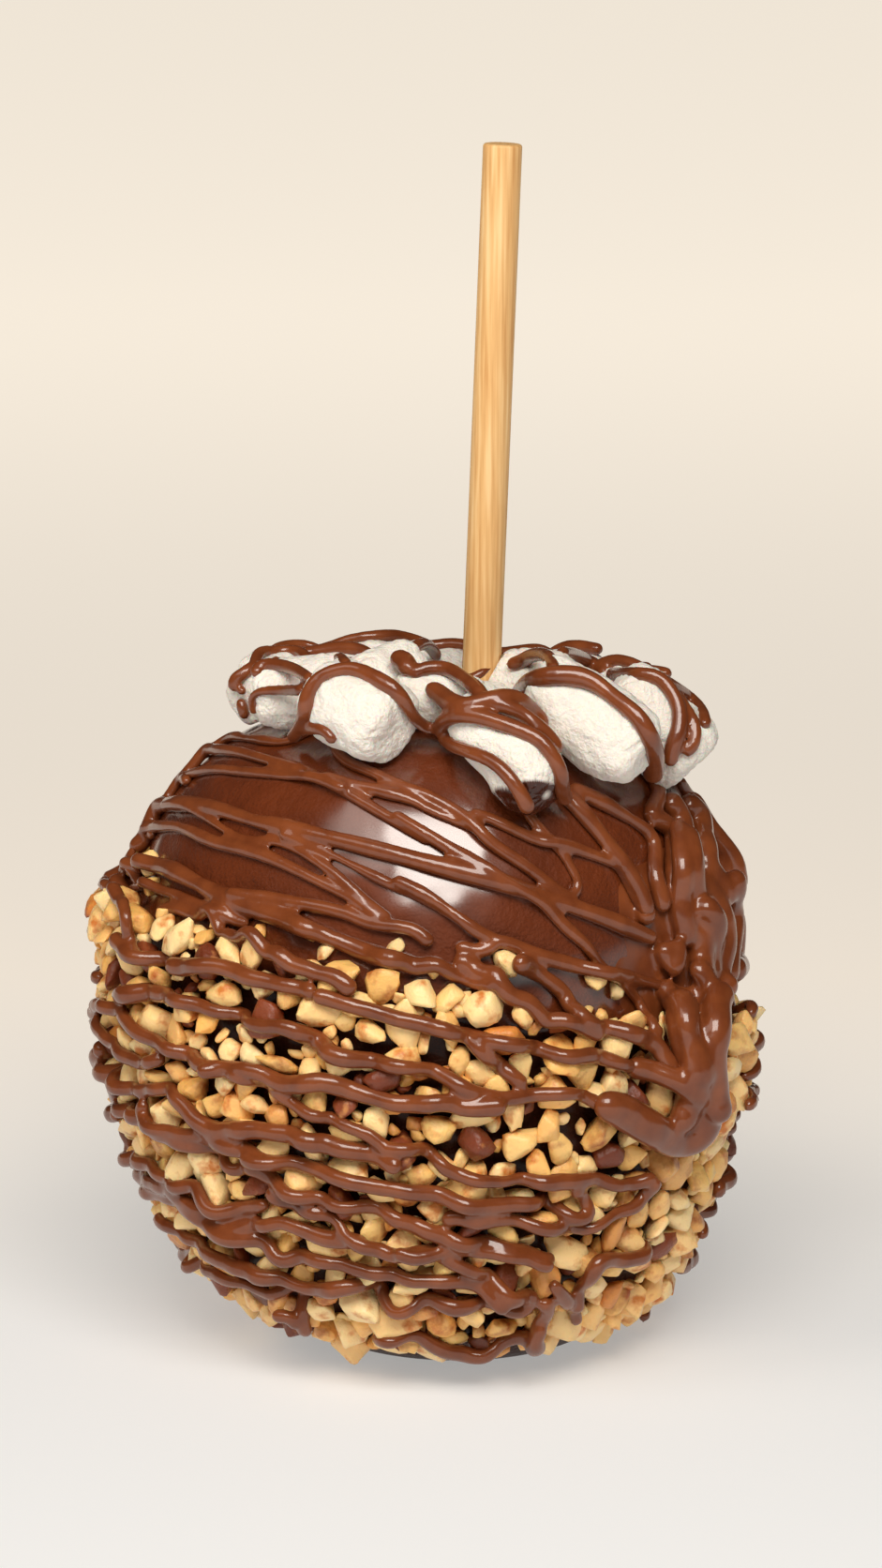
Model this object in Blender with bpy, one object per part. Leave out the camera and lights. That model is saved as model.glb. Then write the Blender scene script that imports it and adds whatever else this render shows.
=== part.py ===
"""Toffee apple: a chocolate-coated apple on a wooden stick, with a belt of chopped nuts, poured
strands of milk chocolate and a crown of small marshmallows.

Sizes are in millimetres here and become metres in mesh_object, with +Z up. The origin lies on
the flat foot, under the middle of the apple, and the front is at -Y. An azimuth is 0 at the
front and 90 degrees on the right, at +X. A latitude is -90 degrees at the foot's edge, 0 where
the apple is widest and 90 at the rim of its top."""

import math
import random

import bmesh
import bpy
from mathutils import Matrix, Vector
from mathutils.bvhtree import BVHTree

MM = 0.001
SEED = 7
CLEARANCE = 0.35

# Driving dimensions of the coated apple, in millimetres
FOOT_RADIUS = 14.0
FOOT_SHIFT = 4.5
WIDEST_RADIUS = 43.0
WIDEST_HEIGHT = 51.0
RIM_RADIUS = 18.5
RIM_HEIGHT = 93.5
CROWN_SHIFT = 2.5
TOP_DIP = 8.0
BACK_DROP = 6.0
LOWER_FULLNESS = 1.9
UPPER_FULLNESS = 2.05
WOBBLE_TWO = 0.012
WOBBLE_THREE = 0.009
CORE_SIDES = 40
CORE_HEIGHTS = [0, 1, 4, 9, 15, 21.5, 28.5, 36, 43.5, 51, 59, 67, 74.5, 80.5, 85.5, 89.5, 92, 93.5]
DIP_SHARES = (0.62, 0.3)
APPLE_TRIANGLES = 9000

# The nut belt, whose upper edge is a tilted line, and the poured mass at the right
BELT_MEAN_TOP = 57.5
BELT_TOP_TO_LEFT = 8.5
BELT_TOP_TO_FRONT = 4.5
BELT_THICKNESS = 3.2
BELT_STEP = 3.0
FOOT_FADE = 7.0
NUT_COUNT = 230
NUT_LARGEST = 4.1
NUT_SMALLEST = 2.3
NUT_SPACING = 6.4
NUT_POINTS = 9
NUT_LOWEST = 5.0
NUT_MARGIN = 1.5
NUT_TRIES = 12000
MASS_AZIMUTH = 70.0
MASS_WIDTH = 20.0
MASS_THICKNESS = 3.4
MASS_LOW = 32.0
MASS_HIGH = 79.0
MASS_FADE = 8.0

# Poured strands: half width, then the passes that wrap the belt, each lower than the last
STRAND_RADIUS = 1.6
STRAND_SIDES = 5
STRAND_STEP = 6.0
STRAND_WANDER = 1.2
STRAND_RISE = 0.5
STRAND_LOWEST = 2.6
FRONT_PASSES = 9
FRONT_HIGHEST = 61.5
FRONT_PITCH = 6.4
BACK_PASSES = 8
BACK_HIGHEST = 52.5
BACK_PITCH = 6.0

# Strands on the bare shoulder, as (azimuth, height) marks: the left front, the right, the back
SHOULDER_STRANDS = [
    [(-112, 66), (-85, 71), (-50, 77.5), (-20, 78.5), (5, 77), (28, 71)],
    [(-108, 71), (-80, 77), (-45, 83.5), (-15, 83), (8, 78.5), (34, 70), (48, 58)],
    [(-100, 77), (-70, 83), (-42, 86.5), (-16, 87), (8, 84), (26, 78)],
    [(-75, 71.5), (-40, 75.5), (-10, 73), (15, 67.5), (34, 59)],
    [(-70, 66.5), (-35, 69.5), (-8, 66), (15, 60)],
    [(44, 82), (52, 75), (56, 66), (62, 54), (58, 42)],
    [(66, 79), (76, 72), (82, 62), (86, 50)],
    [(92, 76), (100, 70), (106, 60), (126, 55)],
    [(120, 75), (145, 72), (185, 69), (215, 64)],
    [(146, 78), (172, 79), (205, 76.5), (235, 70)],
    [(222, 82), (242, 80), (262, 75)],
]

# The stick leans a little to the right
STICK_DIAMETER = 5.5
STICK_LENGTH = 140.0
STICK_LEAN = 2.2
STICK_TOP = 171.8
STICK_AT_RIM = 7.8
STICK_SIDES = 20
STICK_CHAMFER = 0.4

# Marshmallows: centre x, y and z, length, diameter, then the azimuth that the axis points to
# and its fall below the horizontal, in degrees
MARSHMALLOWS = [
    (-21.9, 1.6, 94.4, 12.0, 10.0, 330, 8),
    (-20.4, 14.4, 93.0, 13.0, 10.4, 215, 6),
    (-15.8, 25.6, 90.0, 13.5, 10.6, 240, 4),
    (-16.4, -13.6, 96.6, 15.0, 10.4, 268, 5),
    (-9.2, -27.6, 96.6, 15.0, 12.3, 50, 14),
    (-5.2, -14.6, 98.0, 12.0, 10.6, 130, -8),
    (-4.6, 28.2, 90.6, 15.8, 11.6, 262, 2),
    (1.9, -21.6, 96.4, 13.0, 9.6, 70, 6),
    (7.2, -9.6, 92.9, 10.5, 9.4, 95, 4),
    (11.0, -32.2, 92.4, 18.0, 10.6, 48, 37),
    (22.8, -25.2, 94.8, 19.4, 12.5, 65, 28),
    (31.8, -13.6, 91.6, 16.5, 13.0, 88, 42),
    (15.4, -1.6, 95.2, 12.0, 11.0, 60, -6),
    (-10.4, 3.0, 93.6, 12.0, 10.0, 20, 0),
    (34.0, 3.6, 88.2, 14.0, 11.6, 100, 44),
    (30.0, 17.4, 88.8, 13.5, 10.6, 150, 20),
    (20.4, 26.8, 89.6, 14.5, 11.2, 120, 8),
    (8.0, 30.6, 88.8, 12.5, 10.6, 80, 4),
    (1.2, 14.2, 92.4, 14.0, 10.4, 290, 0),
    (15.2, 13.2, 91.8, 12.5, 10.2, 30, 0),
]
MARSHMALLOW_SIDES = 12
MARSHMALLOW_RINGS = 6
TOPPING_RADIUS = 1.3
TOPPING_ARC = 72.0
MARSHMALLOW_TRIANGLES = 200


def smooth_step(t):
    t = min(max(t, 0.0), 1.0)
    return t * t * (3 - 2 * t)


def outward(azimuth):
    a = math.radians(azimuth)
    return Vector((math.sin(a), -math.cos(a), 0))


def belt_top(azimuth):
    """Height of the nut belt's upper edge: highest on the left, lowest on the right."""
    a = math.radians(azimuth)
    return BELT_MEAN_TOP - BELT_TOP_TO_LEFT * math.sin(a) + BELT_TOP_TO_FRONT * math.cos(a)


def quarter(below):
    """Inner radius, rise and fullness of the meridian's curve below or above the widest height."""
    if below:
        return FOOT_RADIUS, WIDEST_HEIGHT, LOWER_FULLNESS
    return RIM_RADIUS, RIM_HEIGHT - WIDEST_HEIGHT, UPPER_FULLNESS


def surface(azimuth, latitude, lift=0.0):
    """Point on the coat, lift millimetres outside it. The meridian is two quarter superellipses
    that meet at the widest height, where a fullness of 2 is an ellipse and less is slimmer."""
    a, m = math.radians(azimuth), math.radians(latitude)
    inner, rise, fullness = quarter(m < 0)
    reach = WIDEST_RADIUS - inner
    out = max(math.cos(m), 0.0) ** (2 / fullness)
    up = math.copysign(abs(math.sin(m)) ** (2 / fullness), m)
    steep = math.copysign(abs(up) ** (fullness - 1), m) / rise
    normal = Vector((out ** (fullness - 1) / reach, steep)).normalized()
    wobble = WOBBLE_TWO * math.cos(2 * a + 0.6) + WOBBLE_THREE * math.cos(3 * a - 1.0)
    radius = (inner + reach * out) * (1 + wobble * out) + lift * normal.x
    drop = BACK_DROP * (0.5 - 0.5 * math.cos(a)) * max(up, 0.0) ** 3
    height = WIDEST_HEIGHT + rise * up - drop + lift * normal.y
    shift = CROWN_SHIFT * up ** 3 if up > 0 else FOOT_SHIFT * up ** 2
    return outward(azimuth) * radius + Vector((shift, 0, max(height, 0.0)))


def latitude_at(height):
    _, rise, fullness = quarter(height < WIDEST_HEIGHT)
    up = max(-1.0, min(1.0, (height - WIDEST_HEIGHT) / rise))
    return math.copysign(math.degrees(math.asin(abs(up) ** (fullness / 2))), up)


def belt_lift(azimuth, height):
    """Thickness of what lies on the coat: the bed of nuts, then the poured mass at the right."""
    bed = BELT_THICKNESS * smooth_step((belt_top(azimuth) - height) / BELT_STEP + 0.5)
    around = (azimuth - MASS_AZIMUTH + 180) % 360 - 180
    mass = MASS_THICKNESS * math.exp(-((around / MASS_WIDTH) ** 2))
    mass *= smooth_step((height - MASS_LOW) / MASS_FADE) * smooth_step((MASS_HIGH - height) / MASS_FADE)
    return (bed + mass) * smooth_step(height / FOOT_FADE)


def on_belt(azimuth, height, lift):
    return surface(azimuth, latitude_at(height), belt_lift(azimuth, height) + lift)


def mesh_object(name, bm, material=None):
    """Turns a bmesh built in millimetres into a named object in metres."""
    bmesh.ops.recalc_face_normals(bm, faces=bm.faces)
    bm.transform(Matrix.Scale(MM, 4))
    mesh = bpy.data.meshes.new(name)
    bm.to_mesh(mesh)
    bm.free()
    obj = bpy.data.objects.new(name, mesh)
    bpy.context.scene.collection.objects.link(obj)
    if material:
        mesh.materials.append(material)
    return obj


def make_material(name, colour, roughness):
    material = bpy.data.materials.new(name)
    material.use_nodes = True
    shader = material.node_tree.nodes["Principled BSDF"]
    shader.inputs["Base Color"].default_value = (*colour, 1)
    shader.inputs["Roughness"].default_value = roughness
    shader.inputs["Metallic"].default_value = 0.0
    return material


def bridge(bm, lower, upper):
    for i in range(len(lower)):
        j = (i + 1) % len(lower)
        bm.faces.new((lower[i], lower[j], upper[j], upper[i]))


def core_mesh(extra=0.0, sides=CORE_SIDES):
    """The coated apple without its pieces: a ring of points for each latitude, a flat foot and
    a dipped top. extra makes it that much larger all over, as a clearance body."""
    bm = bmesh.new()
    rings = []
    for height in CORE_HEIGHTS:
        ring = []
        for i in range(sides):
            azimuth = 360 * i / sides
            lift = belt_lift(azimuth, height) + extra
            ring.append(bm.verts.new(surface(azimuth, latitude_at(height), lift)))
        rings.append(ring)
    for share in DIP_SHARES:
        dip = TOP_DIP * (0.5 + 0.5 * math.cos(math.pi * share))
        ring = []
        for i in range(sides):
            azimuth = 360 * i / sides
            drop = BACK_DROP * (0.5 - 0.5 * share * math.cos(math.radians(azimuth)))
            centre = Vector((CROWN_SHIFT, 0, RIM_HEIGHT + extra - dip - drop))
            ring.append(bm.verts.new(centre + outward(azimuth) * RIM_RADIUS * share))
        rings.append(ring)
    for lower, upper in zip(rings, rings[1:]):
        bridge(bm, lower, upper)
    bm.faces.new(rings[0])
    bm.faces.new(rings[-1])
    return bm


def smooth_path(marks, step):
    """Catmull-Rom curve through (azimuth, height) marks, resampled at even steps on the coat."""
    points = [Vector(mark) for mark in marks]
    points = [2 * points[0] - points[1], *points, 2 * points[-1] - points[-2]]
    dense = []
    for p0, p1, p2, p3 in zip(points, points[1:], points[2:], points[3:]):
        for k in range(24):
            t = k / 24
            dense.append(0.5 * (2 * p1 + (p2 - p0) * t + (2 * p0 - 5 * p1 + 4 * p2 - p3) * t * t
                                + (3 * p1 - p0 - 3 * p2 + p3) * t ** 3))
    dense.append(points[-2])
    places = [on_belt(p.x, p.y, 0) for p in dense]
    lengths = [0.0]
    for a, b in zip(places, places[1:]):
        lengths.append(lengths[-1] + (b - a).length)
    count = max(3, round(lengths[-1] / step))
    even, k = [], 0
    for i in range(count + 1):
        target = lengths[-1] * i / count
        while k < len(lengths) - 2 and lengths[k + 1] < target:
            k += 1
        share = (target - lengths[k]) / max(lengths[k + 1] - lengths[k], 1e-9)
        even.append(dense[k].lerp(dense[k + 1], min(share, 1.0)))
    return even


def tube(path, normals, radius, sides=STRAND_SIDES):
    """A closed tube along path, a little flattened against what it lies on, with round ends."""
    bm = bmesh.new()
    rings = []
    last = len(path) - 1
    for k, (centre, normal) in enumerate(zip(path, normals)):
        along = (path[min(k + 1, last)] - path[max(k - 1, 0)]).normalized()
        side = along.cross(normal).normalized()
        up = side.cross(along)
        size = radius * (0.55 if k in (0, last) else 1.0)
        ring = []
        for i in range(sides):
            angle = 2 * math.pi * (i + 0.5) / sides
            ring.append(bm.verts.new(centre + size * (side * math.sin(angle) + up * 0.85 * math.cos(angle))))
        rings.append(ring)
    for lower, upper in zip(rings, rings[1:]):
        bridge(bm, lower, upper)
    bm.faces.new(rings[0])
    bm.faces.new(rings[-1])
    return bm


def poured_strand(name, marks, rng):
    """A strand through (azimuth, height) marks that lies on the belt or the bare coat."""
    even = smooth_path(marks, STRAND_STEP)
    path, normals = [], []
    for place in even:
        height = max(place.y + rng.uniform(-0.5, 0.5) * STRAND_WANDER, STRAND_LOWEST)
        low = on_belt(place.x, height, 0.0)
        high = on_belt(place.x, height, 1.0)
        normal = (high - low).normalized()
        path.append(low + normal * STRAND_RISE)
        normals.append(normal)
    return mesh_object(name, tube(path, normals, STRAND_RADIUS))


def strand_marks():
    """Marks of every strand on the coat. Those of the belt come as passes that go from the left
    round the front, and others round the back."""
    strands = []
    for i in range(FRONT_PASSES):
        high = FRONT_HIGHEST - FRONT_PITCH * i
        strands.append([(-122, high - 3), (-80, high + 2.5), (-35, high + 1), (5, high - 2.5), (38, high - 6)])
    for i in range(BACK_PASSES):
        high = BACK_HIGHEST - BACK_PITCH * i
        strands.append([(58, high - 4), (95, high - 1.5), (140, high), (190, high + 1), (232, high + 2)])
    return strands + SHOULDER_STRANDS


def chopped_nut(name, centre, normal, size, rng):
    """One broken piece of nut: the hull of a few points on a squashed ball, seated in the bed."""
    bm = bmesh.new()
    turn = Matrix.Rotation(rng.uniform(0, 2 * math.pi), 3, normal)
    side = normal.orthogonal().normalized()
    across = normal.cross(side)
    stretch = rng.uniform(0.8, 1.25)
    for i in range(NUT_POINTS):
        height = 1 - 2 * (i + 0.5) / NUT_POINTS
        angle = i * math.pi * (3 - math.sqrt(5)) + rng.uniform(-0.35, 0.35)
        flat = math.sqrt(1 - height * height)
        reach = size * rng.uniform(0.85, 1.1)
        local = side * flat * math.cos(angle) * stretch + across * flat * math.sin(angle) / stretch
        bm.verts.new(centre + turn @ ((local + normal * height * 0.85) * reach))
    bmesh.ops.convex_hull(bm, input=bm.verts)
    loose = [v for v in bm.verts if not v.link_faces]
    bmesh.ops.delete(bm, geom=loose, context="VERTS")
    return mesh_object(name, bm)


def nut_places(rng):
    """Evenly scattered (azimuth, height, size) on the belt, largest first."""
    places, kept = [], []
    for _ in range(NUT_TRIES):
        azimuth, height = rng.uniform(-180, 180), rng.uniform(NUT_LOWEST, WIDEST_HEIGHT + 13)
        if height > belt_top(azimuth) - NUT_MARGIN:
            continue
        point = on_belt(azimuth, height, 0)
        if all((point - other).length > NUT_SPACING for other in kept):
            kept.append(point)
            places.append((azimuth, height))
        if len(kept) == NUT_COUNT:
            break
    count = len(places)
    return [(azimuth, height, NUT_LARGEST + (NUT_SMALLEST - NUT_LARGEST) * (i / count) ** 0.7)
            for i, (azimuth, height) in enumerate(places)]


def apply_boolean(obj, operation, collection=None, other=None, solver="EXACT"):
    """Joins or cuts obj with a collection or one object, applies it and removes what was used."""
    modifier = obj.modifiers.new("join", "BOOLEAN")
    modifier.operation = operation
    modifier.solver = solver
    if collection:
        modifier.operand_type = "COLLECTION"
        modifier.collection = collection
    else:
        modifier.object = other
    graph = bpy.context.evaluated_depsgraph_get()
    mesh = bpy.data.meshes.new_from_object(obj.evaluated_get(graph))
    obj.modifiers.clear()
    obj.data = mesh
    used = list(collection.objects) if collection else [other]
    for piece in used:
        bpy.data.objects.remove(piece)
    if collection:
        bpy.data.collections.remove(collection)


def gather(objects):
    collection = bpy.data.collections.new("toppings")
    bpy.context.scene.collection.children.link(collection)
    for obj in objects:
        bpy.context.scene.collection.objects.unlink(obj)
        collection.objects.link(obj)
    return collection


def tidy_solid(obj, triangles):
    """Keeps the outer body alone, so sealed hollows are filled and loose scraps dropped, and
    collapses the slivers that fusing leaves until that many triangles remain."""
    bm = bmesh.new()
    bm.from_mesh(obj.data)
    bmesh.ops.triangulate(bm, faces=bm.faces)
    islands, seen = [], set()
    for vert in bm.verts:
        if vert in seen:
            continue
        island, todo = [], [vert]
        seen.add(vert)
        while todo:
            here = todo.pop()
            island.append(here)
            for edge in here.link_edges:
                other = edge.other_vert(here)
                if other not in seen:
                    seen.add(other)
                    todo.append(other)
        islands.append(island)
    islands.sort(key=len)
    for island in islands[:-1]:
        bmesh.ops.delete(bm, geom=island, context="VERTS")
    bm.to_mesh(obj.data)
    share = triangles / len(bm.faces)
    bm.free()
    if share < 1:
        obj.modifiers.new("simpler", "DECIMATE").ratio = share


def stick_frame():
    """The stick's unit direction and its top point, in millimetres."""
    lean = math.radians(STICK_LEAN)
    along = Vector((math.sin(lean), 0, math.cos(lean)))
    rise = (STICK_TOP - RIM_HEIGHT) / along.z
    return along, Vector((STICK_AT_RIM, 0, RIM_HEIGHT)) + along * rise


def round_bar(name, bottom, top, radius, chamfer, material=None):
    """A straight round bar from bottom to top, chamfered at both ends."""
    bm = bmesh.new()
    along = (top - bottom).normalized()
    turn = along.to_track_quat("Z", "Y").to_matrix()
    rings = []
    for place, size in ((bottom, radius - chamfer), (bottom + along * chamfer, radius),
                        (top - along * chamfer, radius), (top, radius - chamfer)):
        ring = []
        for i in range(STICK_SIDES):
            angle = 2 * math.pi * i / STICK_SIDES
            ring.append(bm.verts.new(place + turn @ Vector((math.cos(angle), math.sin(angle), 0)) * size))
        rings.append(ring)
    for lower, upper in zip(rings, rings[1:]):
        bridge(bm, lower, upper)
    bm.faces.new(rings[0])
    bm.faces.new(rings[-1])
    return mesh_object(name, bm, material)


def marshmallow_frame(row):
    """Centre, unit axis, half length and radius of one marshmallow."""
    x, y, z, length, diameter, azimuth, fall = row
    down = math.radians(fall)
    axis = outward(azimuth) * math.cos(down) - Vector((0, 0, math.sin(down)))
    return Vector((x, y, z)), axis, length / 2, diameter / 2


def keep_off(bm, tree):
    """Moves every point that lies inside the clearance body out to its surface."""
    for vert in bm.verts:
        place, normal, _, _ = tree.find_nearest(vert.co)
        if (vert.co - place).dot(normal) < 0:
            vert.co = place
    return bm


def marshmallow_mesh(row, rng, clearance_tree):
    """A soft round-edged cylinder, a little uneven, pressed flat where it meets the coat."""
    centre, axis, half, radius = marshmallow_frame(row)
    side = axis.cross(Vector((0, 0, 1))).normalized()
    up = side.cross(axis)
    bm = bmesh.new()
    rings = []
    waves = [rng.uniform(-0.06, 0.06) for _ in range(3)]
    for k in range(MARSHMALLOW_RINGS):
        t = math.pi * (k + 0.6) / (MARSHMALLOW_RINGS + 0.2)
        place = centre + axis * half * math.copysign(abs(math.cos(t)) ** 0.62, math.cos(t))
        size = radius * math.sin(t) ** 0.5
        ring = []
        for i in range(MARSHMALLOW_SIDES):
            angle = 2 * math.pi * i / MARSHMALLOW_SIDES
            reach = size * (1 + waves[0] * math.cos(angle) + waves[1] * math.sin(2 * angle)
                            + waves[2] * math.cos(angle + t))
            ring.append(bm.verts.new(place + (side * math.cos(angle) + up * math.sin(angle)) * reach))
        rings.append(ring)
    for lower, upper in zip(rings, rings[1:]):
        bridge(bm, lower, upper)
    bm.faces.new(rings[0])
    bm.faces.new(rings[-1])
    return keep_off(bm, clearance_tree)


def marshmallow_toppings(name, row, index, clearance_tree):
    """One or two strands of chocolate over a marshmallow, from flank to flank."""
    centre, axis, half, radius = marshmallow_frame(row)
    side = axis.cross(Vector((0, 0, 1))).normalized()
    up = side.cross(axis)
    places = (-0.45, 0.4) if half > 7.0 else (0.1,)
    made = []
    for k, place in enumerate(places):
        slant = 0.35 if (index + k) % 2 else -0.3
        path, normals = [], []
        for i in range(8):
            share = -1 + 2 * i / 7
            angle = math.radians(TOPPING_ARC * share)
            normal = up * math.cos(angle) + side * math.sin(angle)
            path.append(centre + axis * half * (place + slant * share) + normal * (radius + 0.1))
            normals.append(normal)
        strand = keep_off(tube(path, normals, TOPPING_RADIUS), clearance_tree)
        made.append(mesh_object(f"{name}_strand_{k}", strand))
    return made


def reach_along(row, direction):
    """How far a marshmallow reaches from its centre along a unit direction."""
    _, axis, half, radius = marshmallow_frame(row)
    share = abs(axis.dot(direction))
    return half * share + radius * math.sqrt(max(0.0, 1 - share * share))


def cut_flat(obj, place, normal):
    """Cuts off what lies beyond a plane, given in millimetres, and closes the cut."""
    bm = bmesh.new()
    bm.from_mesh(obj.data)
    result = bmesh.ops.bisect_plane(bm, geom=[*bm.verts, *bm.edges, *bm.faces], dist=1e-7,
                                    plane_co=place * MM, plane_no=normal, clear_outer=True)
    edges = [g for g in result["geom_cut"] if isinstance(g, bmesh.types.BMEdge)]
    if edges:
        bmesh.ops.holes_fill(bm, edges=edges, sides=0)
        bmesh.ops.triangulate(bm, faces=bm.faces)
        bmesh.ops.recalc_face_normals(bm, faces=bm.faces)
    bm.to_mesh(obj.data)
    bm.free()


def build_marshmallows(material, rng):
    """Every marshmallow with its strands, cut flat where it presses on a neighbour or the stick."""
    clearance = core_mesh(extra=2 * CLEARANCE)
    bmesh.ops.recalc_face_normals(clearance, faces=clearance.faces)
    tree = BVHTree.FromBMesh(clearance)
    clearance.free()
    along, top = stick_frame()
    for index, row in enumerate(MARSHMALLOWS):
        name = f"marshmallow_{index + 1:02d}"
        obj = mesh_object(name, marshmallow_mesh(row, rng, tree), material)
        apply_boolean(obj, "UNION", collection=gather(marshmallow_toppings(name, row, index, tree)))
        centre = marshmallow_frame(row)[0]
        for other in MARSHMALLOWS:
            if other is row:
                continue
            offset = marshmallow_frame(other)[0] - centre
            direction = offset.normalized()
            mine, theirs = reach_along(row, direction), reach_along(other, -direction)
            if mine + theirs + 3 * TOPPING_RADIUS > offset.length:
                share = offset.length * mine / (mine + theirs)
                cut_flat(obj, centre + direction * (share - CLEARANCE / 2), direction)
        from_stick = centre - top
        from_stick -= along * from_stick.dot(along)
        if from_stick.length < STICK_DIAMETER + 10:
            away = from_stick.normalized()
            on_axis = centre - from_stick
            cut_flat(obj, on_axis + away * (STICK_DIAMETER / 2 + CLEARANCE), -away)
        tidy_solid(obj, MARSHMALLOW_TRIANGLES)
        apply_boolean(obj, "DIFFERENCE", other=mesh_object("clearance", core_mesh(extra=2 * CLEARANCE)))


def build_coated_apple(material, rng):
    """The coated apple with its nuts and strands fused on, and the socket that the stick fills."""
    apple = mesh_object("coated_apple", core_mesh(), material)
    along, top = stick_frame()
    bottom = top - along * (STICK_LENGTH + CLEARANCE)
    socket = round_bar("socket", bottom, top, STICK_DIAMETER / 2 + CLEARANCE, 0.1)
    apply_boolean(apple, "DIFFERENCE", other=socket)
    pieces = []
    for i, (azimuth, height, size) in enumerate(nut_places(rng)):
        low, high = on_belt(azimuth, height, 0.0), on_belt(azimuth, height, 1.0)
        normal = (high - low).normalized()
        lowest_allowed = size * 1.1 + 0.4
        centre = low + normal * size * 0.25
        centre.z = max(centre.z, lowest_allowed)
        pieces.append(chopped_nut(f"nut_{i:03d}", centre, normal, size, rng))
    for i, marks in enumerate(strand_marks()):
        pieces.append(poured_strand(f"strand_{i:02d}", marks, rng))
    apply_boolean(apple, "UNION", collection=gather(pieces), solver="MANIFOLD")
    tidy_solid(apple, APPLE_TRIANGLES)


def main():
    for obj in list(bpy.data.objects):
        bpy.data.objects.remove(obj)
    chocolate = make_material("chocolate_and_nuts", (0.20, 0.075, 0.035), 0.25)
    marshmallow = make_material("marshmallow", (0.88, 0.84, 0.78), 0.7)
    wood = make_material("wood", (0.72, 0.48, 0.24), 0.5)
    rng = random.Random(SEED)
    build_coated_apple(chocolate, rng)
    build_marshmallows(marshmallow, rng)
    along, top = stick_frame()
    round_bar("stick", top - along * STICK_LENGTH, top, STICK_DIAMETER / 2, STICK_CHAMFER, wood)


main()
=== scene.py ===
import math

import bmesh
import bpy
import numpy as np
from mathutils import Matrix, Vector
from mathutils.bvhtree import BVHTree


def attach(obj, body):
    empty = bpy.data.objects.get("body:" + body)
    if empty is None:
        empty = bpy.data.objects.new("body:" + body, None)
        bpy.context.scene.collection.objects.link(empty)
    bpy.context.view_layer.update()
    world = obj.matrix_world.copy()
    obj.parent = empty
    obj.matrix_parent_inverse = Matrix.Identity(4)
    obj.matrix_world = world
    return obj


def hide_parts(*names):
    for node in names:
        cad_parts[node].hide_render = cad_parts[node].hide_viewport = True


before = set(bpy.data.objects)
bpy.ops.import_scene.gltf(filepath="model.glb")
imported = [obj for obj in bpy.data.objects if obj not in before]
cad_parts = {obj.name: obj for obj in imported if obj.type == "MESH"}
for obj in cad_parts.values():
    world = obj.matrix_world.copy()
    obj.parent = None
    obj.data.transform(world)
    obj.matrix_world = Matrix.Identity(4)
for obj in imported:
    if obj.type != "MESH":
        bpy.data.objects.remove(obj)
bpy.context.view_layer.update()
milli = 0.001
print("frame loaded")


# camera in metres and degrees, with the mm of a pixel and of the way to the apple

view = {
    "place": (0.0022, -0.800, 0.2446),
    "tilt": 11.58,
    "lens": 131.5,
    "sensor": 36,
    "pictureWidth": 941,
    "pictureHeight": 1672,
    "pixel": 0.131,
    "reach": 810,
}
cameraData = bpy.data.cameras.new("camera")
cameraData.lens = view["lens"]
cameraData.sensor_width = view["sensor"]
camera = bpy.data.objects.new("camera", cameraData)
camera.location = view["place"]
camera.rotation_euler = (math.radians(90 - view["tilt"]), 0, 0)
bpy.context.scene.collection.objects.link(camera)
bpy.context.scene.camera = camera


def rays(pixels):
    # start and unit directions in mm of the rays through the picture's own pixels
    marks = np.array(pixels, dtype=float)
    focal = view["lens"] / view["sensor"] * view["pictureHeight"]
    across = (marks[:, 0] - view["pictureWidth"] / 2) / focal
    upward = (view["pictureHeight"] / 2 - marks[:, 1]) / focal
    tilt = math.radians(view["tilt"])
    ahead = math.cos(tilt) + upward * math.sin(tilt)
    rise = upward * math.cos(tilt) - math.sin(tilt)
    return np.array(view["place"]) / milli, unit(np.stack([across, ahead, rise], axis=1))


# helpers for arrays, meshes and noise, in mm


def stepUp(values, low, high):
    share = np.clip((values - low) / (high - low), 0, 1)
    return share * share * (3 - 2 * share)


def unit(vectors):
    return vectors / np.maximum(np.linalg.norm(vectors, axis=-1, keepdims=True), 1e-9)


def latticeNoise(points, size, seed):
    # value noise, -1 to 1: random corners of a lattice blended by 3s^2 - 2s^3
    place = points / size
    base = np.floor(place).astype(np.int64)
    part = place - base
    part = part * part * (3 - 2 * part)
    total = np.zeros(len(points))
    for corner in range(8):
        step = np.array([corner & 1, corner >> 1 & 1, corner >> 2 & 1])
        cell = base + step
        mixed = cell[:, 0] * 73856093 ^ cell[:, 1] * 19349663 ^ cell[:, 2] * 83492791
        mixed = (mixed ^ seed * 2654435761) & 0xFFFFFFFF
        mixed = (mixed ^ mixed >> 15) * 2246822519 & 0xFFFFFFFF
        mixed = (mixed ^ mixed >> 13) * 3266489917 & 0xFFFFFFFF
        value = (mixed ^ mixed >> 16 & 0xFFFF) / 0xFFFFFFFF * 2 - 1
        weight = np.prod(np.where(step == 1, part, 1 - part), axis=1)
        total += value * weight
    return total


def makeMesh(name, points, faces, smooth=True):
    mesh = bpy.data.meshes.new(name)
    faces = np.asarray(faces, dtype=np.int32)
    count, corners = faces.shape
    mesh.vertices.add(len(points))
    mesh.vertices.foreach_set("co", (np.asarray(points) * milli).astype(np.float32).ravel())
    mesh.loops.add(count * corners)
    mesh.loops.foreach_set("vertex_index", faces.ravel())
    mesh.polygons.add(count)
    mesh.polygons.foreach_set("loop_start", np.arange(count, dtype=np.int32) * corners)
    mesh.polygons.foreach_set("use_smooth", np.full(count, smooth))
    mesh.update(calc_edges=True)
    mesh.validate()
    piece = bpy.data.objects.new(name, mesh)
    bpy.context.scene.collection.objects.link(piece)
    return piece


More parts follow.
